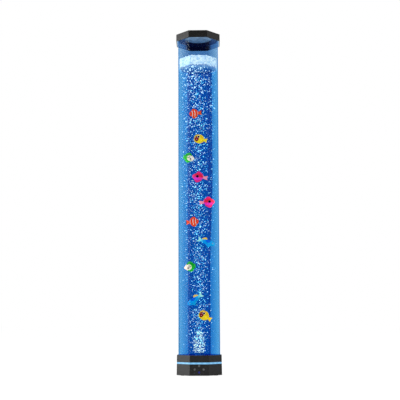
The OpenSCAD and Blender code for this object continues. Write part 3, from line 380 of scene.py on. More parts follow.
def bubble_white(name, glow, deep_glow):
    """Air bubble with painted light from below, an emission: white near the wall, and stronger in red and green the
    deeper it lies, because the water takes those away. Beside the column of painted shade it is dimmed by that
    column's colour as well, and some bubbles have a bluish tone."""
    f = Finish(name)
    shade = f.noise(5.0, 2.0).step(0.42, 0.72) * 0.5
    x = f.at()[0]
    depth = (1.0 - f.reach() / (TUBE_IN_W / 2)).least(0.75) / 0.75
    light = f.mix(depth**1.5, glow, deep_glow)
    # Painted shade: bubbles beside the column are dimmed by its colour too
    left_of_core = (0.0 - x).step(CORE_HALF_W - 1.0, CORE_HALF_W)
    right_of_core = (x - CORE_SPREAD).step(CORE_HALF_W - 1.0, CORE_HALF_W)
    beside_core = left_of_core.most(right_of_core) * depth.step(0.15, 0.35)
    light = f.times(light, f.mix(beside_core, WHITE, CORE_SHADE))
    light = f.times(light, f.mix(shade, WHITE, (0.45, 0.72, 0.95)))
    film = f.mix(shade, (0.38, 0.44, 0.47), (0.31, 0.38, 0.44))
    return f.surface(Base_Color=film, Roughness=0.3, Emission_Color=light)


def glowing_ring(name):
    """Translucent ring lit from behind: even sky blue, a little brighter in front of each small light."""
    f = Finish(name)
    half_side = math.pi / 8
    along = f.turn().wrap(half_side, -half_side).tan() * RING_HALF_W
    spots = (along * (2 * math.pi / CHIP_SPACING)).cos() * 0.5 + 0.5
    off_middle = (f.at()[2] - (RING_Z + RING_TOP) / 2) / 3.0
    spots = spots * (1.0 - off_middle * off_middle * 0.7)
    grain = f.noise(0.6, 2.0)
    base = f.mix(grain, (0.11, 0.28, 0.40), (0.13, 0.32, 0.44))
    light = f.mix(spots, (0.095, 0.27, 0.50), (0.165, 0.40, 0.67))
    return f.surface(Base_Color=base, Roughness=0.35, Emission_Color=light, Normal=f.bump(grain, 0.02))


def fish_skin(name, kind, pattern, row):
    """Painted toy fish. The UV map's u runs from nose to tail; v is the height on the body, 2 to 3 from a fin's
    root to its edge, and 4 to 5 from the middle of an eye to its rim. The paint also carries painted light, an
    emission of its own colour as strong as the water in front of each side takes away."""
    f = Finish(name)
    u, v = f.uv()
    fin = (v > 1.5) * (v < 3.5)
    eye = v > 3.5
    body, fins = pattern(f, u, v)
    rays = ((u * 150.0).cos() * 0.5 + 0.5) * fin
    scales = f.cells(2.0, stretch=(1.0, 1.0, 0.8))
    shaded = f.mix(scales.step(0.3, 0.75) * 0.3, body, (0.01, 0.01, 0.02))
    painted = f.mix(fin, shaded, f.mix(rays * 0.25, fins, (0.03, 0.02, 0.02)))
    pupil = f.mix((v - 4.0).step(0.80, 0.86), (0.001, 0.001, 0.008), kind["iris"])
    painted = f.mix(eye, painted, pupil)
    # Painted light: faces turned towards the back take the far stronger back glow
    behind = (f.at()[1] - row_y(row)).step(0.0, 2.5)
    glow = f.mix(behind, ROW_GLOW[row], BACK_GLOW)
    relief = scales * (1.0 - fin) * (1.0 - eye) + rays
    return f.surface(
        Base_Color=painted, Roughness=0.35, Specular_IOR_Level=0.2, Normal=f.bump(relief, 0.12),
        Emission_Color=f.times(painted, glow),
    )


def spot(u, v, at_u, at_v, tall, core, rim):
    """Oval spot of paint: 1 within it, by the square of the distance from its middle, where a step in v counts
    for less than a step in u."""
    du, dv = u - at_u, v - at_v
    return 1.0 - (du * du + dv * dv * tall).step(core, rim)


def banded_pattern(f, u, v):
    """Orange red with three white bands, each edged dark, and dark rims to the fins."""
    bend = (v - 0.5) * (v - 0.5) * 0.16
    bands = [abs(u + bend - middle) - half for middle, half in ((0.25, 0.020), (0.45, 0.025), (0.68, 0.016))]
    distance = bands[0].least(bands[1]).least(bands[2])
    edge = 1.0 - abs(distance - 0.006).step(0.003, 0.009)
    white = 1.0 - distance.step(-0.004, 0.004)
    orange = f.mix(v, (0.88, 0.065, 0.008), (0.82, 0.022, 0.004))
    body = f.mix(edge, f.mix(white, orange, (0.95, 0.92, 0.88)), (0.10, 0.02, 0.02))
    fins = f.mix((v - 2.0).step(0.86, 0.95), (0.88, 0.085, 0.015), (0.12, 0.02, 0.01))
    return body, fins


def round_pattern(f, u, v):
    """Yellow with an ochre back, a dark red patch on the face and two pink spots in it."""
    yellow = f.mix(v.step(0.45, 1.0), (0.88, 0.76, 0.010), (0.74, 0.55, 0.008))
    body = f.mix(spot(u, v, 0.20, 0.44, 0.26, 0.026, 0.032), yellow, (0.19, 0.0005, 0.006))
    for at_u, at_v in ((0.13, 0.52), (0.23, 0.36)):
        body = f.mix(spot(u, v, at_u, at_v, 0.3, 0.0004, 0.0009), body, (0.95, 0.50, 0.50))
    fins = f.mix((v - 2.0).step(0.2, 1.0), (0.86, 0.68, 0.008), (0.92, 0.84, 0.03))
    return body, fins


def pale_pattern(f, u, v):
    """White, with a green crescent that runs along the back, round the rear and under the belly, and a grey
    flank."""
    du, dv = u - 0.36, v - 0.48
    green = (du * du * 5.2 + dv * dv * 4.0).least((u - 0.20) * 6.0).step(0.36, 0.50)
    flank = spot(u, v, 0.46, 0.56, 0.3, 0.003, 0.012)
    body = f.mix(flank * 0.7, (0.92, 0.94, 0.92), (0.26, 0.32, 0.32))
    body = f.mix(green, body, f.mix(v, (0.01, 0.58, 0.03), (0.003, 0.33, 0.01)))
    fins = f.mix((v - 2.0).step(0.3, 1.0), (0.01, 0.44, 0.02), (0.04, 0.62, 0.06))
    return body, fins


def rosy_pattern(f, u, v):
    """Red back, pink face and magenta belly, with a pale pink tail."""
    body = f.mix(v.step(0.30, 0.55), (0.80, 0.03, 0.70), (0.76, 0.012, 0.055))
    body = f.mix(u.step(0.05, 0.24), (0.98, 0.05, 0.24), body)
    body = f.mix(u.step(0.66, 0.76), body, (1.0, 0.26, 0.38))
    fins = f.mix(u.step(0.64, 0.74), (0.92, 0.02, 0.22), (1.0, 0.34, 0.50))
    return body, fins


def slender_pattern(f, u, v):
    """Azure with a deep blue saddle, a yellow back fin and a pale cyan tail."""
    body = f.mix(spot(u, v, 0.40, 0.75, 0.2, 0.01, 0.03), (0.0, 0.35, 1.0), (0.0, 0.12, 0.90))
    body = f.mix(u.step(0.64, 0.76), body, (0.10, 0.72, 1.0))
    tail = f.mix((v - 2.0).step(0.30, 0.75), (0.08, 0.72, 1.0), (0.40, 0.95, 1.0))
    fins = f.mix(u.step(0.44, 0.48), (0.0, 0.43, 1.0), (0.95, 0.66, 0.10))
    fins = f.mix(u.step(0.745, 0.765), fins, tail)
    return body, fins


# ---- Surfaces ----


def ramp(value, low, high):
    """Share of the way that a value has come from low to high, held between 0 and 1."""
    return np.clip((value - low) / (high - low), 0.0, 1.0)


def smooth(share):
    """Smoothstep of a share."""
    return share * share * (3 - 2 * share)


def circle(count):
    """Angles evenly round a circle."""
    return np.linspace(0.0, 2 * math.pi, count, endpoint=False)


def swell(value, power):
    """A number between -1 and 1 raised to a power, with its sign kept."""
    return np.sign(value) * np.abs(value) ** power


def turned(a, b, angle):
    """Two coordinates turned by an angle, from the first axis towards the second."""
    c, s = math.cos(angle), math.sin(angle)
    return a * c - b * s, a * s + b * c


def octagon(half_width, corner):
    """Rounded octagons as x and y. Each corner is an arc of radius corner about the corner of an octagon that is
    drawn in by corner, and on either side of the arc one more point lies a little way along the flat."""
    half_width, corner = np.broadcast_arrays(np.atleast_1d(np.asarray(half_width, float)), corner)
    half_width, corner = half_width[:, None, None], corner[:, None, None]
    turn = np.radians(22.5 + 45.0 * np.arange(8))[:, None]
    sweep = np.radians(np.linspace(-22.5, 22.5, ARC_STEPS + 1))
    normal = turn + np.concatenate((sweep[:1], sweep, sweep[-1:]))
    slide = np.zeros(ARC_STEPS + 3)
    slide[0], slide[-1] = -1.0, 1.0
    slide = slide * np.minimum(0.05 * half_width, 0.8)
    hub = (half_width - corner) / math.cos(math.pi / 8)
    x = hub * np.cos(turn) + corner * np.cos(normal) - slide * np.sin(normal)
    y = hub * np.sin(turn) + corner * np.sin(normal) + slide * np.cos(normal)
    return np.stack((x, y), -1).reshape(len(x), -1, 2)


def soft_profile(corners):
    """Closed profile of (half width, height, bevel) corners. Each corner becomes a quadratic curve from one side
    to the next, which it meets a bevel away, with one more point half a bevel further along each side."""
    rows = np.array(corners, float)
    points, bevel = rows[:, :2], rows[:, 2:]
    sides = [np.roll(points, shift, 0) - points for shift in (1, -1)]
    back, ahead = [bevel * side / np.maximum(np.linalg.norm(side, axis=1, keepdims=True), 1e-9) for side in sides]
    u = np.linspace(0.0, 1.0, ARC_STEPS + 1)[None, :, None]
    start, middle, end = (points + back)[:, None], points[:, None], (points + ahead)[:, None]
    curve = start * (1 - u) ** 2 + 2 * middle * u * (1 - u) + end * u**2
    return np.concatenate((start + back[:, None] / 2, curve, end + ahead[:, None] / 2), 1).reshape(-1, 2)


def loft(profile, corner):
    """Octagonal skin: each point of the profile gives the half width and height of one rounded octagon."""
    half, z = np.asarray(profile, float).T
    plan = octagon(half, np.minimum(corner, 0.5 * half))
    height = np.broadcast_to(z[:, None, None], (*plan.shape[:2], 1))
    return np.concatenate((plan, height), 2)


def disc_stack(profile, axis_x=0.0, axis_y=0.0, columns=48):
    """Turned skin: each point of the profile gives the radius and height of one circle round an upright axis."""
    radius, z = np.asarray(profile, float).T
    angle = circle(columns)
    x = axis_x + radius[:, None] * np.cos(angle)
    y = axis_y + radius[:, None] * np.sin(angle)
    return np.stack((x, y, np.broadcast_to(z[:, None], x.shape)), -1)


def quads(m, n, ring=False):
    """Faces of a grid of m rows whose n columns meet. In a ring the rows meet too."""
    i, j = np.arange(m if ring else m - 1)[:, None], np.arange(n)
    here, beside = i * n + j, i * n + (j + 1) % n
    above, across = (i + 1) % m * n + j, (i + 1) % m * n + (j + 1) % n
    return np.stack((here, beside, across, above), -1).reshape(-1, 4)


def skin(grid, ring=False, uv=None):
    """Closed skin over a grid whose columns meet. In a ring the rows meet too; otherwise the first and the last
    row are drawn together to their middles. Its faces are turned so that the volume inside is positive."""
    grid = np.asarray(grid, float)
    if not ring:
        first, last = (np.broadcast_to(row.mean(1, keepdims=True), row.shape) for row in (grid[:1], grid[-1:]))
        grid = np.concatenate((first, grid, last))
        uv = None if uv is None else np.concatenate((uv[:1], uv, uv[-1:]))
    faces = quads(*grid.shape[:2], ring)
    points = grid.reshape(-1, 3)
    a, b, c, d = (points[faces[:, k]] for k in range(4))
    volume = np.einsum("ij,ij->i", np.cross(a, b), c).sum() + np.einsum("ij,ij->i", np.cross(a, c), d).sum()
    if volume < 0:
        faces = faces[:, ::-1]
    return points, faces, None if uv is None else uv.reshape(-1, 2)


def make(name, skins, finish, body="root", stands_for=(), crease=CREASE, merge=1e-6):
    """Joins skins into one piece in metres, closes its seams and poles, and hands it to the frame."""
    starts = np.cumsum([0] + [len(s[0]) for s in skins[:-1]])
    points = np.concatenate([s[0] for s in skins]) * MM
    faces = np.concatenate([s[1] + start for s, start in zip(skins, starts)])
    mesh = bpy.data.meshes.new(name)
    mesh.from_pydata(points.tolist(), [], faces.tolist())
    if skins[0][2] is not None:
        uv = np.concatenate([s[2] for s in skins])
        mesh.uv_layers.new(name="UVMap").data.foreach_set("uv", uv[faces.ravel()].astype(np.float32).ravel())
    work = bmesh.new()
    work.from_mesh(mesh)
    bmesh.ops.remove_doubles(work, verts=work.verts, dist=merge)
    work.to_mesh(mesh)
    work.free()
    mesh.validate()
    mesh.shade_smooth()
    mesh.set_sharp_from_angle(angle=math.radians(crease))
    mesh.materials.append(finish)
    made = add(name, mesh)
    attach(made, body)
    if stands_for:
        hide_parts(*stands_for)
    return made


def moulding(name, corners, corner, finish, stands_for, body="root", ribs=()):
    """Piece with an octagonal wall: a soft profile carried round eight flats and eight rounded corners."""
    wall = skin(loft(soft_profile(corners), corner), ring=True)
    return make(name, [wall, *(skin(rib) for rib in ribs)], finish, body, [stands_for])


def along_y(grid, x, z):
    """Turns a skin round the upright axis into one round a line along Y, its height becoming -Y."""
    return np.stack((grid[..., 0] + x, -grid[..., 2], grid[..., 1] + z), -1)


def drill(piece, holes):
    """Cuts round holes, given as closed skins, through a piece."""
    cutter = make("drill_bits", holes, piece.data.materials[0])
    cut = piece.modifiers.new("holes", "BOOLEAN")
    cut.object, cut.operation, cut.solver = cutter, "DIFFERENCE", "EXACT"
    graph = bpy.context.evaluated_depsgraph_get()
    mesh = bpy.data.meshes.new_from_object(piece.evaluated_get(graph))
    piece.modifiers.clear()
    old, piece.data = piece.data, mesh
    mesh.name = piece.name
    bpy.data.meshes.remove(old)
    bpy.data.objects.remove(cutter)
    mesh.shade_smooth()
    mesh.set_sharp_from_angle(angle=math.radians(CREASE))


def hole(x, z, radius, y_from, y_to):
    """Cylinder along Y between two places, to drill with."""
    return skin(along_y(disc_stack([(radius, -y_from), (radius, -y_to)], columns=40), x, z))


def value_noise(points, size, seed):
    """Smooth random field: random numbers on a lattice of this size, blended with a smoothstep in all three
    directions."""
    rng = np.random.default_rng(seed)
    lattice = rng.random((32, 32, 32))
    p = points / size
    cell = np.floor(p).astype(int)
    share = smooth(p - cell)
    total = np.zeros(points.shape[:-1])
    for corner in np.ndindex(2, 2, 2):
        weight = np.prod(np.where(np.array(corner), share, 1 - share), -1)
        at = (cell + corner) % 32
        total += weight * lattice[at[..., 0], at[..., 1], at[..., 2]]
    return total


# ---- Where the fish swim ----

# Painted light, as an emission, that each row of fish gives off towards the front and towards the back, so that
# its paint shows through the water on that side
ROW_GLOW = ((1.15, 0.56, 0.22), (2.30, 0.88, 0.32), (3.70, 1.26, 0.42))
BACK_GLOW = (30.0, 5.0, 1.2)


def row_y(row):
    """Depth at which a row of fish swims, counted from the front wall."""
    return -TUBE_IN_W / 2 + 11.0 + 14.0 * row


# Body, height, tail spread and the rise of the fins are shares of the fish's length. A fin goes from one share of
# the body to another, the tail's root and notch are in mm, and an eye or cheek fin lies at shares of the body's
# length and height, with its radius in mm
FISH_FIELDS = ("length", "body", "tall", "skew", "full", "root", "spread", "notch", "back", "belly", "eye", "paddle",
               "iris")
FISH_KINDS = {
    "banded": (44.0, 0.76, 0.43, 0.75, 0.70, 3.0, 0.40, 1.5, (0.22, 0.85, 0.18), (0.22, 0.80, 0.19),
               (0.17, 0.12, 1.8), (0.42, -0.10, 3.6), (0.9, 0.5, 0.2)),
    "round": (47.0, 0.76, 0.58, 0.70, 0.60, 2.4, 0.34, 2.0, (0.4, 0.95, 0.06), (0.45, 0.95, 0.06),
              (0.41, 0.22, 4.6), (0.62, -0.10, 3.6), (0.92, 0.92, 0.92)),
    "pale": (41.0, 0.88, 0.64, 1.20, 0.80, 3.5, 0.40, 1.5, (0.35, 0.95, 0.10), (0.45, 0.95, 0.08),
             (0.38, -0.12, 3.0), (0.56, -0.02, 3.4), (0.10, 0.10, 0.10)),
    "rosy": (54.0, 0.72, 0.40, 0.85, 0.82, 2.6, 0.26, 2.0, (0.30, 0.98, 0.16), (0.20, 0.85, 0.16),
             (0.46, 0.05, 5.0), (0.66, -0.14, 3.6), (0.02, 0.02, 0.30)),
    "slender": (62.0, 0.78, 0.25, 0.70, 0.60, 2.4, 0.30, 5.0, (0.60, 0.96, 0.13), (0.25, 0.56, 0.10),
                (0.16, 0.14, 1.6), (0.34, -0.10, 3.0), (0.6, 0.7, 0.8)),
}
FISH_KINDS = {name: dict(zip(FISH_FIELDS, values)) for name, values in FISH_KINDS.items()}
for kind in FISH_KINDS.values():
    kind["body_l"], kind["height"] = kind["body"] * kind["length"], kind["tall"] * kind["length"]
FISH_T = 9.0

# Each fish: kind, x, row counted from the front wall, height, facing (1 is left), pitch in degrees
FISH = {
    "banded_upper": ("banded", -9.0, 0, 903.1, 1, -6.0),
    "banded_lower": ("banded", -22.0, 1, 521.8, -1, 6.0),
    "round_upper": ("round", 8.0, 1, 813.4, 1, 14.0),
    "round_lower": ("round", 21.0, 1, 198.4, 1, 32.0),
    "pale_upper": ("pale", -34.0, 2, 749.9, -1, -12.0),
    "pale_lower": ("pale", -31.0, 2, 367.5, 1, -12.0),
    "rosy_upper": ("rosy", 5.0, 0, 676.1, 1, 8.0),
    "rosy_lower": ("rosy", 29.0, 2, 592.2, -1, 4.0),
    "slender_upper": ("slender", 25.0, 2, 453.7, -1, -20.0),
    "slender_lower": ("slender", -13.0, 2, 256.3, 1, -36.0),
}


# ---- Materials in use ----

# Cap: the inner side of its skirt carries painted light from the tank, navy in the middle and pale blue at the left
# and right
cap_plastic = moulded(
    "cap plastic", (0.0036, 0.0032, 0.0028), (0.0064, 0.0058, 0.0052), 0.34,
    lit_within=75.6, lit_by=((0.006, 0.005, 0.028), (0.26, 0.42, 0.62)),
)
base_black, base_worn = (0.0064, 0.0060, 0.0055), (0.0108, 0.0101, 0.0094)
base_plastic = moulded("base plastic", base_black, base_worn)
# The deck inside the tube's foot carries painted light from the tank in blue
base_rim_plastic = moulded(
    "base rim plastic", base_black, base_worn, lit_within=71.8, lit_by=((0.04, 0.24, 0.62), (0.08, 0.32, 0.68))
)
ring_plastic = glowing_ring("ring plastic")
tube_acrylic = clear_wall("tube acrylic", (0.985, 0.992, 1.0), (0.17, 0.63, 0.86), 60.0)
floor_acrylic = lit_tank_floor("tank floor acrylic")
# Blue of the water and of the air gap over it: a tint that is painted light from the lamps below
water_light_tint = lit_water("water", (0.10, 0.640, 0.885), 36.0)
gap_light_tint = lit_water("moist air", (0.18, 0.48, 0.73), 22.0)
# Films of painted shade round the column in the middle of the water; the darker one goes on its right side
column_shade = shading_film("painted shade column", CORE_SHADE)
column_edge_shade = shading_film("darker shade film", (0.33, 0.54, 0.76))
froth_white = froth("froth")
bubble_finish = bubble_white("bubbles", (1.0, 1.22, 1.28), (5.0, 4.8, 2.8))
froth_ball_finish = bubble_white("froth bubbles", (0.80, 0.84, 0.84), (0.9, 0.9, 0.9))
fountain_finish = bubble_white("fountain bubbles", (1.1, 1.1, 1.1), (22.0, 5.3, 1.8))
button_finish = moulded("button plastic", (0.10, 0.10, 0.10), (0.14, 0.14, 0.14), 0.45)

SLOT_FINISHES = {
    "foot_rubber": rubber("foot rubber", (0.012, 0.012, 0.012)),
    "base_plastic": base_plastic,
    "cap_plastic": cap_plastic,
    "screw_steel": metal("screw steel", (0.62, 0.62, 0.63)),
    "glow_plastic": ring_plastic,
    "board_white": laminate("white board", (0.82, 0.82, 0.8), (0.6, 0.6, 0.58)),
    "seal_rubber": rubber("seal rubber", (0.015, 0.015, 0.016)),
    "clear_acrylic": floor_acrylic,
    "fitting_plastic": moulded("fitting plastic", (0.55, 0.57, 0.6), (0.48, 0.5, 0.52), 0.4),
    "air_stone_grit": rubber("air stone grit", (0.25, 0.42, 0.6)),
    "light_chip": lit_lens("light chips", (0.8, 0.8, 0.7), (0.55, 0.8, 1.0)),
    "liner_plastic": lit_from_below("liner plastic", (0.16, 0.26, 0.34), (0.40, 0.42, 0.44)),
    # Plug: blue-black, with painted light from the water below as an emission within
    "plug_plastic": moulded(
        "plug plastic", (0.004, 0.005, 0.020), (0.007, 0.008, 0.032), 0.5,
        lit_within=70.0, lit_by=((0.006, 0.005, 0.028), (0.05, 0.09, 0.20)),
    ),
    "board_green": laminate("green board", (0.015, 0.11, 0.045), (0.03, 0.2, 0.08)),
    "black_plastic": moulded("black plastic", (0.010, 0.010, 0.010), (0.016, 0.016, 0.016), 0.4),
    "window_blue": lit_lens("window blue", (0.004, 0.006, 0.09), (0.002, 0.003, 0.11)),
    "button_plastic": button_finish,
    "pump_plastic": moulded("pump plastic", (0.03, 0.032, 0.036), (0.045, 0.047, 0.05), 0.45),
    "core_steel": metal("core steel", (0.42, 0.43, 0.45), 0.45, (1.0, 12.0, 1.0)),
    "coil_copper": metal("coil copper", (0.78, 0.36, 0.16), 0.3, (1.0, 1.0, 40.0)),
    "arm_plastic": moulded("arm plastic", (0.75, 0.74, 0.7), (0.68, 0.67, 0.64), 0.45),
    "magnet_steel": metal("magnet steel", (0.5, 0.5, 0.52), 0.2),
    "hose_clear": moulded("hose", (0.62, 0.72, 0.78), (0.55, 0.66, 0.74), 0.25),
    "lead_red": rubber("red lead", (0.5, 0.02, 0.02)),
    "lead_yellow": rubber("yellow lead", (0.7, 0.5, 0.03)),
    "lead_blue": rubber("blue lead", (0.02, 0.08, 0.45)),
}
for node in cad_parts.values():
    for place in node.material_slots:
        if place.material.name in SLOT_FINISHES:
            place.material = SLOT_FINISHES[place.material.name]


# ---- Base ----

lower = [
    (base_at(FOOT_H), FOOT_H, 1.4),
    (base_at(RING_Z), RING_Z - 0.15, 0.5),
    (RIM_IN_W / 2, RING_Z - 0.15, 0.3),
    (RIM_IN_W / 2, RING_Z - PLATE_T, 0.3),
    (base_at(RING_Z) - BASE_WALL, RING_Z - PLATE_T, 0.3),
    (base_at(RING_Z) - BASE_WALL, FOOT_H + COVER_T + PLATE_T, 0.3),
    (RIM_IN_W / 2, FOOT_H + COVER_T + PLATE_T, 0.3),
    (RIM_IN_W / 2, FOOT_H + COVER_T + 0.1, 0.3),
    (BASE_W / 2 - BASE_WALL, FOOT_H + COVER_T + 0.1, 0.2),
    (BASE_W / 2 - BASE_WALL, FOOT_H, 0.2),
]
base_lower = moulding("base_lower_shell", lower, 2.2, base_plastic, "base_shell_lower")
front = -BASE_W / 2
drill(
    base_lower,
    [hole(x, z, BUTTON_R + 0.25, front - 2, front + 4.4) for x, z in BUTTON_PLACES.values()]
    + [hole(0.0, WINDOW_Z, WINDOW_R + 0.05, front - 2, front + 4.4)]
    + [hole(0.0, JACK_Z, JACK_R + 0.3, BASE_W / 2 - 5, BASE_W / 2 + 2)],
)

upper = [
    (base_at(RING_TOP), RING_TOP + 0.15, 0.5),
    (base_at(BASE_H), BASE_H, 1.6),
    (TUBE_W / 2 + 0.3, BASE_H, 0.5),
    (TUBE_W / 2 + 0.3, DECK_TOP, 0.3),
    (DECK_HOLE_R, DECK_TOP, 0.1),
    (DECK_HOLE_R, RING_TOP + 0.15, 0.1),
]
moulding("base_upper_shell", upper, 2.2, base_rim_plastic, "base_shell_upper")

ring_band = [
    (base_at(RING_Z) - 0.35, RING_Z + 0.1, 0.4),
    (base_at(RING_TOP) - 0.35, RING_TOP - 0.1, 0.4),
    (RIM_IN_W / 2 + 2.0, RING_TOP - 0.1, 0.3),
    (RIM_IN_W / 2 + 2.0, RING_Z + 0.1, 0.3),
]
moulding("light_ring_band", ring_band, 2.0, ring_plastic, "light_ring")


# ---- Cap ----

cap = [
    (0.0, LAMP_H, 0.0),
    (CAP_W / 2, LAMP_H, 1.8),
    (CAP_W / 2, CAP_Z, 0.9),
    (CAP_W / 2 - CAP_WALL, CAP_Z, 0.6),
    (CAP_W / 2 - CAP_WALL, CAP_CEILING, 0.6),
    (0.0, CAP_CEILING, 0.0),
]
rib_low, rib_high = CAP_Z + 2.0, CAP_CEILING - 0.2
rib_shape = soft_profile([(1.0, rib_low, 0.3), (1.0, rib_high, 0.2), (0.0, rib_high, 0.0), (0.0, rib_low, 0.0)])


def cap_rib(turn):
    """Rib inside the skirt: a lens-ended bar 2 mm thick carried upwards, narrowing at its two ends, then turned
    to its side of the octagon."""
    half, z = rib_shape[: len(rib_shape) // 2].T
    angle = circle(24)
    x = CAP_RIB_X + CAP_RIB_HALF_L * swell(np.cos(angle), 0.35)
    y = half[:, None] * swell(np.sin(angle), 0.35)
    return np.stack((*turned(x, y, turn), np.broadcast_to(z[:, None], y.shape)), -1)


ribs = [cap_rib(k * math.pi / 4) for k in range(8)]
moulding("cap_moulding", cap, 2.0, cap_plastic, "cap_shell", "lid", ribs)


# ---- Tube, water and the column of painted shade ----

tube = [
    (TUBE_W / 2, TUBE_Z, 0.5),
    (TUBE_W / 2, TUBE_TOP, 0.8),
    (TUBE_IN_W / 2, TUBE_TOP, 0.8),
    (TUBE_IN_W / 2, TUBE_Z, 0.5),
]
moulding("tube_wall", tube, 1.8, tube_acrylic, "tube")

water = [(WATER_W / 2, WATER_Z), (WATER_W / 2, WATER_TOP)]
make("water_column", [skin(loft(water, 1.5))], water_light_tint)
gap = [(WATER_W / 2 - 0.6, GAP_Z), (WATER_W / 2 - 0.6, GAP_TOP)]
make("moist_air", [skin(loft(gap, 1.5))], gap_light_tint)


def core_grid(low, high):
    """Six-sided column: a flat front and back joined by slanting sides that meet at the widest place. The right
    side reaches further out with height, in a smoothstep between 350 and 700 mm."""
    middle = (CORE_FRONT_Y + CORE_BACK_Y) / 2
    z = np.linspace(low, high, 24)[:, None]
    reach = CORE_HALF_W + CORE_SPREAD * smooth(ramp(z, 350.0, 700.0))
    inner = 0.86 * CORE_HALF_W
    x = np.concatenate([0 * z + at for at in (-CORE_HALF_W, -inner, inner, reach, inner, -inner)], 1)
    y = np.array([middle, CORE_FRONT_Y, CORE_FRONT_Y, middle, CORE_BACK_Y, CORE_BACK_Y])
    return np.stack(np.broadcast_arrays(x, y, z), -1)


# Column of painted shade: its film darkens what lies behind it, and the faces of its right side take the darker
# film, a painted dark stripe down that side
core = make(
    "painted_shade_column", [skin(core_grid(WATER_Z + 1.0, FOAM_LOW + 10.0))], column_shade, crease=10.0
)
core.data.materials.append(column_edge_shade)
middles = np.empty(3 * len(core.data.polygons))
core.data.polygons.foreach_get("center", middles)
core.data.polygons.foreach_set("material_index", (middles[::3] > 0.88 * CORE_HALF_W * MM).astype(np.int32))


# ---- Froth on the water ----


def froth_grid():
    """Lumpy octagonal cake: a loft from its underside to its top, whose heights rise and fall with smooth noise."""
    share = np.concatenate((np.linspace(0.0, 0.985, 26), np.ones(8), np.linspace(0.985, 0.0, 26)))
    level = np.concatenate((np.zeros(26), np.linspace(0.06, 0.94, 8), np.ones(26)))
    half = share * (WATER_W / 2 - 0.9)
    ring = octagon(half, np.minimum(2.0, 0.5 * half))
    ring = np.concatenate((ring, np.zeros((*ring.shape[:2], 1))), 2)
    lumps = value_noise(ring + 200.0, 13.0, 5) + 0.5 * value_noise(ring + 200.0, 5.0, 6)
    low = FOAM_LOW + 9.0 * (lumps - 0.75)
    high = FOAM_TOP + 5.0 * (value_noise(ring + 300.0, 11.0, 7) - 0.5)
    ring[..., 2] = low + (high - low) * level[:, None]
    return ring


make("froth_layer", [skin(froth_grid())], froth_white, crease=60.0)


# ---- Bubbles ----


def ball(rows, columns):
    """Unit ball as a grid of latitude and longitude, from pole to pole."""
    up, round_ = np.linspace(0, math.pi, rows + 1)[:, None], circle(columns)
    return np.stack(np.broadcast_arrays(np.sin(up) * np.cos(round_), np.sin(up) * np.sin(round_), np.cos(up)), -1)


def scatter(centres, sizes, rng):
    """One bubble at each centre: the five faces round the waist of a unit ball, open above and below, scaled
    along the ball's three axes, turned by a random rotation and moved to their place, all as whole arrays."""
    template = ball(3, 5)[1:-1].reshape(-1, 3)
    quaternion = rng.normal(size=(len(centres), 4))
    w, x, y, z = (quaternion / np.linalg.norm(quaternion, axis=1, keepdims=True)).T
    turn = np.stack((
        1 - 2 * (y * y + z * z), 2 * (x * y - w * z), 2 * (x * z + w * y),
        2 * (x * y + w * z), 1 - 2 * (x * x + z * z), 2 * (y * z - w * x),
        2 * (x * z - w * y), 2 * (y * z + w * x), 1 - 2 * (x * x + y * y),
    ), 1).reshape(-1, 3, 3)
    points = np.einsum("nij,nkj->nki", turn, template[None] * sizes[:, None, :]) + centres[:, None, :]
    faces = quads(2, 5)[:, [0, 3, 2, 1]] + (np.arange(len(centres)) * len(template))[:, None, None]
    return points.reshape(-1, 3), faces.reshape(-1, 4), None


def in_octagon(x, y, half):
    """True where a point lies within an octagon of this half width."""
    lean = (np.abs(x) + np.abs(y)) / math.sqrt(2)
    return np.maximum(np.maximum(np.abs(x), np.abs(y)), lean) < half


def flake_sizes(rng, count, low, high):
    """Half axes of flattened bubbles: the second is 0.7 to 1 of the first, and the third 0.5 to 0.8 of it."""
    size = low + (high - low) * rng.random(count) ** 2
    return np.stack((size, size * rng.uniform(0.7, 1.0, count), size * rng.uniform(0.5, 0.8, count)), 1)


def clear_of_fish(centres):
    """True for bubbles that don't lie in front of a fish: outside an oval round each fish, seen from the front."""
    at = np.array([(x, height, FISH_KINDS[kind]["length"]) for kind, x, _, height, _, _ in FISH.values()])
    across = (centres[:, None, 0] - at[:, 0]) / (0.52 * at[:, 2])
    up = (centres[:, None, 2] - at[:, 1]) / (0.40 * at[:, 2])
    return np.all((across**2 + up**2 > 1) | (centres[:, None, 1] > -30.0), 1)


def even_pairs(count, rng):
    """Two rows of numbers between 0 and 1 that fill the square evenly: multiples of the plastic number's two
    powers, less their whole parts, moved a little at random so that no lattice shows."""
    steps = np.arange(count)[None] * np.array([[0.7548776662], [0.5698402910]])
    jitter = rng.normal(0.0, 0.35 / math.sqrt(count), (2, count))
    return np.clip(np.mod(steps + 0.5 + jitter, 1.0), 0.002, 0.998)


def bell(share):
    """The place in a bell curve of unit spread under which this share of it lies, by the logistic curve."""
    return np.log(share / (1.0 - share)) / 1.702


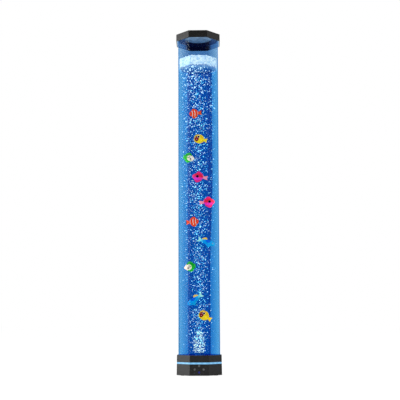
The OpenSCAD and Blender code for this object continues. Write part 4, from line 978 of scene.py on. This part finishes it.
def wall_bubbles(count, seed):
    """Bubbles that rise close behind the front and the back wall: their x follows a bell curve, in a band that
    widens with height, and their y the octagon's flats there. A few more rise at mid depth near the left and
    right."""
    rng = np.random.default_rng(seed)
    level, place = even_pairs(count, rng)
    low = STONE_TOP + 6.0
    z = low + (FOAM_LOW - 6.0 - low) * (1.0 - level**1.15)
    x = bell(place) * (17.0 + 15.0 * (z - low) / 1000.0)
    x = x - 9.0 * ramp(z, 450.0, 950.0)
    inset = rng.uniform(62.6, 65.2, count)
    y = np.minimum(inset, inset * math.sqrt(2) - np.abs(x)) * np.where(rng.random(count) < 0.66, -1, 1)
    aside = rng.random(count) < 0.10
    x = np.where(aside, rng.uniform(40.0, 60.0, count) * rng.choice([-1, 1], count), x)
    y = np.where(aside, rng.uniform(-24.0, 24.0, count), y)
    z = np.where(aside, 200.0 + (FOAM_LOW - 210.0) * rng.random(count) ** 0.6, z)
    centres = np.stack((x, y, z), 1)
    sizes = flake_sizes(rng, count, 0.6, 2.2) * (1.0 + 0.35 * ramp(z, 780.0, 1030.0))[:, None]
    keep = clear_of_fish(centres) & in_octagon(x, y, 65.4) & (np.abs(x) < 60.0)
    return scatter(centres[keep], sizes[keep], rng)


def plume_bubbles(count, seed):
    """Bubbles that rise behind the fish, in a column that widens with height."""
    rng = np.random.default_rng(seed)
    level, place = even_pairs(count, rng)
    low, high = STONE_TOP + 19.0, FOAM_LOW - 10.0
    z = low + (high - low) * level
    x = bell(place) * (13.0 + 13.0 * (z - low) / 985.0)
    y = -19.0 + 76.0 * rng.random(count) ** 2.2
    keep = in_octagon(x, y, 62.0)
    centres = np.stack((x, y, z), 1)[keep]
    return scatter(centres, flake_sizes(rng, len(centres), 0.7, 2.4), rng)


def fountain_bubbles(count, seed):
    """Burst over the air stone: five loose strands that wind round each other, swell to the middle of the burst
    and close again, with the bubbles scattered about them."""
    rng = np.random.default_rng(seed)
    rise = rng.random(count) ** 1.1
    z = STONE_TOP - 6.0 + 78.0 * rise
    radius = (8.0 + 14.0 * np.sin(math.pi * np.minimum(0.9 * rise + 0.1, 1.0))) * rng.random(count) ** 0.4
    angle = rng.integers(0, 5, count) * 2 * math.pi / 5 + 2.4 * rise + rng.normal(0.0, 0.45, count)
    centres = np.stack((radius * np.cos(angle), radius * np.sin(angle), z), 1)
    return scatter(centres, flake_sizes(rng, count, 0.7, 1.9), rng)


def froth_bubbles(count, seed):
    """Larger bubbles of the froth, at its wall and on its top."""
    rng = np.random.default_rng(seed)
    angle = rng.uniform(0, 2 * math.pi, count)
    fold = np.mod(angle + math.pi / 8, math.pi / 4) - math.pi / 8
    share = np.where(rng.random(count) < 0.75, 1.0, np.sqrt(rng.random(count)))
    radius = share * 65.0 / np.cos(fold)
    x, y = radius * np.cos(angle), radius * np.sin(angle)
    z = np.where(share == 1.0, rng.uniform(FOAM_LOW - 3.0, FOAM_TOP - 1.0, count), FOAM_TOP + 0.5)
    return scatter(np.stack((x, y, z), 1), flake_sizes(rng, count, 0.8, 2.6), rng)


for name, bubbles, finish in (
    ("bubbles_froth", froth_bubbles(2000, 14), froth_ball_finish),
    ("bubbles_wall", wall_bubbles(3500, 11), bubble_finish),
    ("bubbles_plume", plume_bubbles(1500, 12), bubble_finish),
    ("bubbles_fountain", fountain_bubbles(400, 13), fountain_finish),
):
    make(name, [bubbles], finish, merge=1e-7)


# ---- Fish ----

def girth(kind, t):
    """Share of the full girth at a share of the body: the sine of a half turn of t to the power skew, itself
    raised to the power full."""
    return np.maximum(np.sin(math.pi * t ** kind["skew"]), 0.0) ** kind["full"]


def half_height(kind, t):
    """Half the body's height: its girth, a blunt nose that fades out and a tail root that fades in."""
    return kind["height"] / 2 * girth(kind, t) + 1.0 * (1 - t) + kind["root"] * t


def half_thickness(kind, t):
    """Half the body's thickness: its girth and 0.9 mm more."""
    return (FISH_T / 2 - 1) * girth(kind, t) + 0.9


def fish_part(kind, grid, v):
    """Closed skin of a part of the fish, with u along the fish's length and the given v."""
    grid = np.asarray(grid)
    v = np.broadcast_to(v, grid.shape[:2])
    return skin(grid, uv=np.stack((grid[..., 0] / kind["length"], v), -1))


def fish_body(kind):
    """Body: at each share t of its length an ellipse-like section with a keel, its height and thickness following
    the girth, with u along the fish and v up it."""
    t = (1 - np.cos(np.linspace(0.12, math.pi - 0.05, 40))) / 2
    angle = circle(36)
    tall = half_height(kind, t)[:, None]
    thick = half_thickness(kind, t)[:, None]
    z = tall * np.cos(angle)
    y = thick * swell(np.sin(angle), 1.15)
    x = np.broadcast_to(t[:, None] * kind["body_l"], z.shape)
    return fish_part(kind, np.stack((x, y, z), -1), 0.5 + 0.5 * np.cos(angle))


def blade(kind, x, z, thickness):
    """Thin fin between its root row and its edge row: x and z are grids from root to edge and from front to back,
    and the section across is a lens, so that the front and back edges are sharp."""
    rows, columns = x.shape
    lens = thickness[:, None] / 2 * np.sqrt(np.maximum(1 - np.linspace(-1, 1, columns) ** 2, 0.02))
    ripple = 0.25 * np.sin(np.linspace(0, 5 * math.pi, columns)) * np.linspace(0, 1, rows)[:, None]
    grid = np.concatenate((np.stack((x, ripple + lens, z), -1), np.stack((x, ripple - lens, z), -1)[:, ::-1]), 1)
    return fish_part(kind, grid, np.linspace(2.02, 2.98, rows)[:, None])


def fish_tail(kind):
    """Tail fin: it fans out from the root in a straight taper that eases at the end, and its rear edge is drawn in
    by the notch at its middle."""
    length, root_x = kind["length"], kind["body_l"] - 3.0
    share = np.linspace(0, 1, 12)[:, None]
    s = np.linspace(-1, 1, 25)
    tall = kind["root"] + (kind["spread"] * length / 2 - kind["root"]) * share**0.8
    x = root_x + share * (length - root_x - kind["notch"] * 1.6 * (1 - np.abs(s) ** 1.4))
    return blade(kind, x, tall * s, np.linspace(1.8, 0.8, 12))


def fish_fin(kind, reach, side):
    """Back or belly fin: between two shares of the body it rises from inside the body to an edge that swells to
    its full rise at two fifths and sweeps back."""
    start, end, rise = reach
    u = np.linspace(0, 1, 22)
    share = np.linspace(0, 1, 8)[:, None]
    t = start + (end - start) * u
    under = 0.72 * half_height(kind, t)
    full = np.interp(u, [0, 0.15, 0.4, 0.8, 1], [0.0, 0.7, 1.0, 0.6, 0.25]) * rise * kind["length"]
    edge = half_height(kind, t) * 0.97 + full * 0.9
    x = t * kind["body_l"] + share * 1.6 * u
    return blade(kind, x, side * (under + share * (edge - under)), np.linspace(1.8, 0.7, 8))


def fish_paddle(kind, side):
    """Cheek fin: a flat oval leaf hinged at its front and standing off the body at 22 degrees."""
    place, up, radius = kind["paddle"]
    grid = ball(8, 18)[1:-1] * np.array([radius, 0.5, radius * 0.75])
    v = 2.1 + 0.8 * (grid[..., 0] / radius * 0.5 + 0.5)
    x, y = turned(grid[..., 0] + radius - 1.0, grid[..., 1], side * math.radians(22))
    at = np.array([place * kind["body_l"], side * (FISH_T / 2 - 1.2), up * kind["height"]])
    return fish_part(kind, at + np.stack((x, y, grid[..., 2]), -1), v)


def fish_eye(kind, side):
    """Eye: a shallow dome on the cheek, whose v counts from its middle to its rim."""
    place, up, radius = kind["eye"]
    grid = ball(12, 20)[1:-1, :, [0, 2, 1]] * np.array([radius, 1.0, radius])
    v = 4.0 + np.hypot(grid[..., 0], grid[..., 2]) / radius
    out = side * (half_thickness(kind, place) - 0.35)
    at = np.array([place * kind["body_l"], out, up * kind["height"]])
    return fish_part(kind, at + grid * np.array([1.0, 0.9, 1.0]), v)


PAINTS = {
    "banded": (banded_pattern, "fish_orange"),
    "round": (round_pattern, "fish_yellow"),
    "pale": (pale_pattern, "fish_green"),
    "rosy": (rosy_pattern, "fish_pink"),
    "slender": (slender_pattern, "fish_blue"),
}
fish_paints = {}


def swim(points, kind, x, row, height, facing, pitch):
    """Centres a fish on its length, pitches it, mirrors it where it faces right and moves it to its place."""
    along, up = turned(points[:, 0] - kind["length"] / 2, points[:, 2], -math.radians(pitch))
    return np.stack((along * facing + x, points[:, 1] + row_y(row), up + height), 1)


for fish_name, (kind_name, x, row, height, facing, pitch) in FISH.items():
    kind = FISH_KINDS[kind_name]
    parts = [fish_body(kind), fish_tail(kind), fish_fin(kind, kind["back"], 1), fish_fin(kind, kind["belly"], -1)]
    parts += [fish_paddle(kind, side) for side in (-1, 1)] + [fish_eye(kind, side) for side in (-1, 1)]
    placed = [(swim(points, kind, x, row, height, facing, pitch), faces if facing > 0 else faces[:, ::-1], uv)
              for points, faces, uv in parts]
    (pattern, slot), paint_key = PAINTS[kind_name], (kind_name, row)
    if paint_key not in fish_paints:
        fish_paints[paint_key] = fish_skin(f"{kind_name} fish row {row}", kind, pattern, row)
    part = f"fish_{fish_name}"
    make(f"toy_{fish_name}", placed, fish_paints[paint_key], part, [part], crease=50.0)


# ---- Buttons ----


def button_profile(face, back, plunger_end):
    """Key turned about its axis: the plunger, the flange that keeps it in, a straight side, a rolled rim and a face
    that is dished for the fingertip."""
    u = np.linspace(0, math.pi / 2, 7)
    rim = np.stack((BUTTON_R - 0.5 + 0.5 * np.cos(u), face - 0.5 + 0.5 * np.sin(u)), 1)
    r = np.linspace(BUTTON_R - 0.6, 0.0, 8)
    dish = np.stack((r, face - 0.25 * (1 - (r / BUTTON_R) ** 2)), 1)
    stem = [(1.5, plunger_end), (1.5, back), (4.4, back), (4.5, back + 0.1), (4.5, back + 0.9), (4.4, back + 1.0),
            (BUTTON_R, back + 1.0)]
    return np.concatenate((stem, rim, dish))


for button_name, (x, z) in BUTTON_PLACES.items():
    key = button_profile(base_at(z) + BUTTON_PROUD, BUTTON_FLANGE_Y, BUTTON_STEM_Y)
    make(f"{button_name}_key", [skin(along_y(disc_stack(key), x, z))], button_finish, button_name,
         [button_name])


# ---- Bellows of the air pump, squeezed by the arm ----


def folded_sleeve(low, high, crest, groove, pad):
    """Sleeve turned about its axis: the radius swings in cosines between crest and groove, two and a half times in
    all, and closes in to the arm's pad over the last quarter of the height."""
    share = np.linspace(0.0, 1.0, 41)
    radius = (crest + groove) / 2 + (crest - groove) / 2 * np.cos(5 * math.pi * share)
    closing = ramp(share, 0.75, 1.0) ** 2
    return np.stack((radius + (pad - radius) * closing, low + share * (high - low)), 1)


sleeve = folded_sleeve(BELLOWS_LOW, BELLOWS_HIGH, 9.9, 8.0, 4.0)
bellows_sleeve = make(
    "bellows_sleeve", [skin(disc_stack(sleeve, BELLOWS_X, BELLOWS_Y))], SLOT_FINISHES["seal_rubber"],
    stands_for=["bellows"], crease=60.0,
)
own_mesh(bellows_sleeve)


# ---- Studio ----

paper = Finish("studio floor")
matt, faint = (paper.node("BsdfDiffuse", None, {"Color": (grey, grey, grey)}) for grey in (0.86, 0.34))
lift = paper.node("Emission", None, {"Color": WHITE, "Strength": 0.83})
seen = paper.node("AddShader", None, {0: faint, 1: lift})
floor_finish = paper.done(paper.shaders(paper.ray("Camera"), matt, seen))

floor_mesh = bpy.data.meshes.new("studio_floor")
floor_mesh.from_pydata([(-30, -30, 0), (30, -30, 0), (30, 30, 0), (-30, 30, 0)], [], [(0, 1, 2, 3)])
floor_mesh.materials.append(floor_finish)
add("studio_floor", floor_mesh)

sky = Finish("studio", "World")
into = sky.split(sky.node("TexCoord", out="Generated"))[1]
direct, glossy = sky.ray("Camera").most(sky.ray("Transmission")), sky.ray("Glossy")
mirrored = 0.09 + into.step(-0.1, 0.8) * 0.91
strength = direct + (1.0 - direct) * (glossy * mirrored + (1.0 - glossy) * 0.5)
bpy.context.scene.world = sky.done(sky.node("Background", None, {"Color": WHITE, "Strength": strength}))


def softbox(name, place, aim, width, height, power):
    """Large soft lamp turned to face a point."""
    lamp = bpy.data.lights.new(name, "AREA")
    lamp.shape, lamp.size, lamp.size_y, lamp.energy = "RECTANGLE", width, height, power
    made = add(name, lamp)
    made.location = place
    toward = np.array(aim, float) - np.array(place, float)
    yaw = math.atan2(toward[1], toward[0]) - math.pi / 2
    pitch = math.atan2(toward[2], math.hypot(toward[0], toward[1]))
    made.rotation_euler = (math.pi / 2 + pitch, 0.0, yaw)
    made.visible_camera = False


softbox("softbox_left", (-2.6, -0.5, 1.0), (0, 0, 0.6), 1.8, 2.2, 47.0)
softbox("softbox_right", (2.8, -0.4, 1.5), (0, 0, 0.8), 1.6, 2.0, 6.5)
softbox("softbox_top", (0.3, -1.2, 3.2), (0, 0, 0.6), 2.0, 2.0, 27.0)
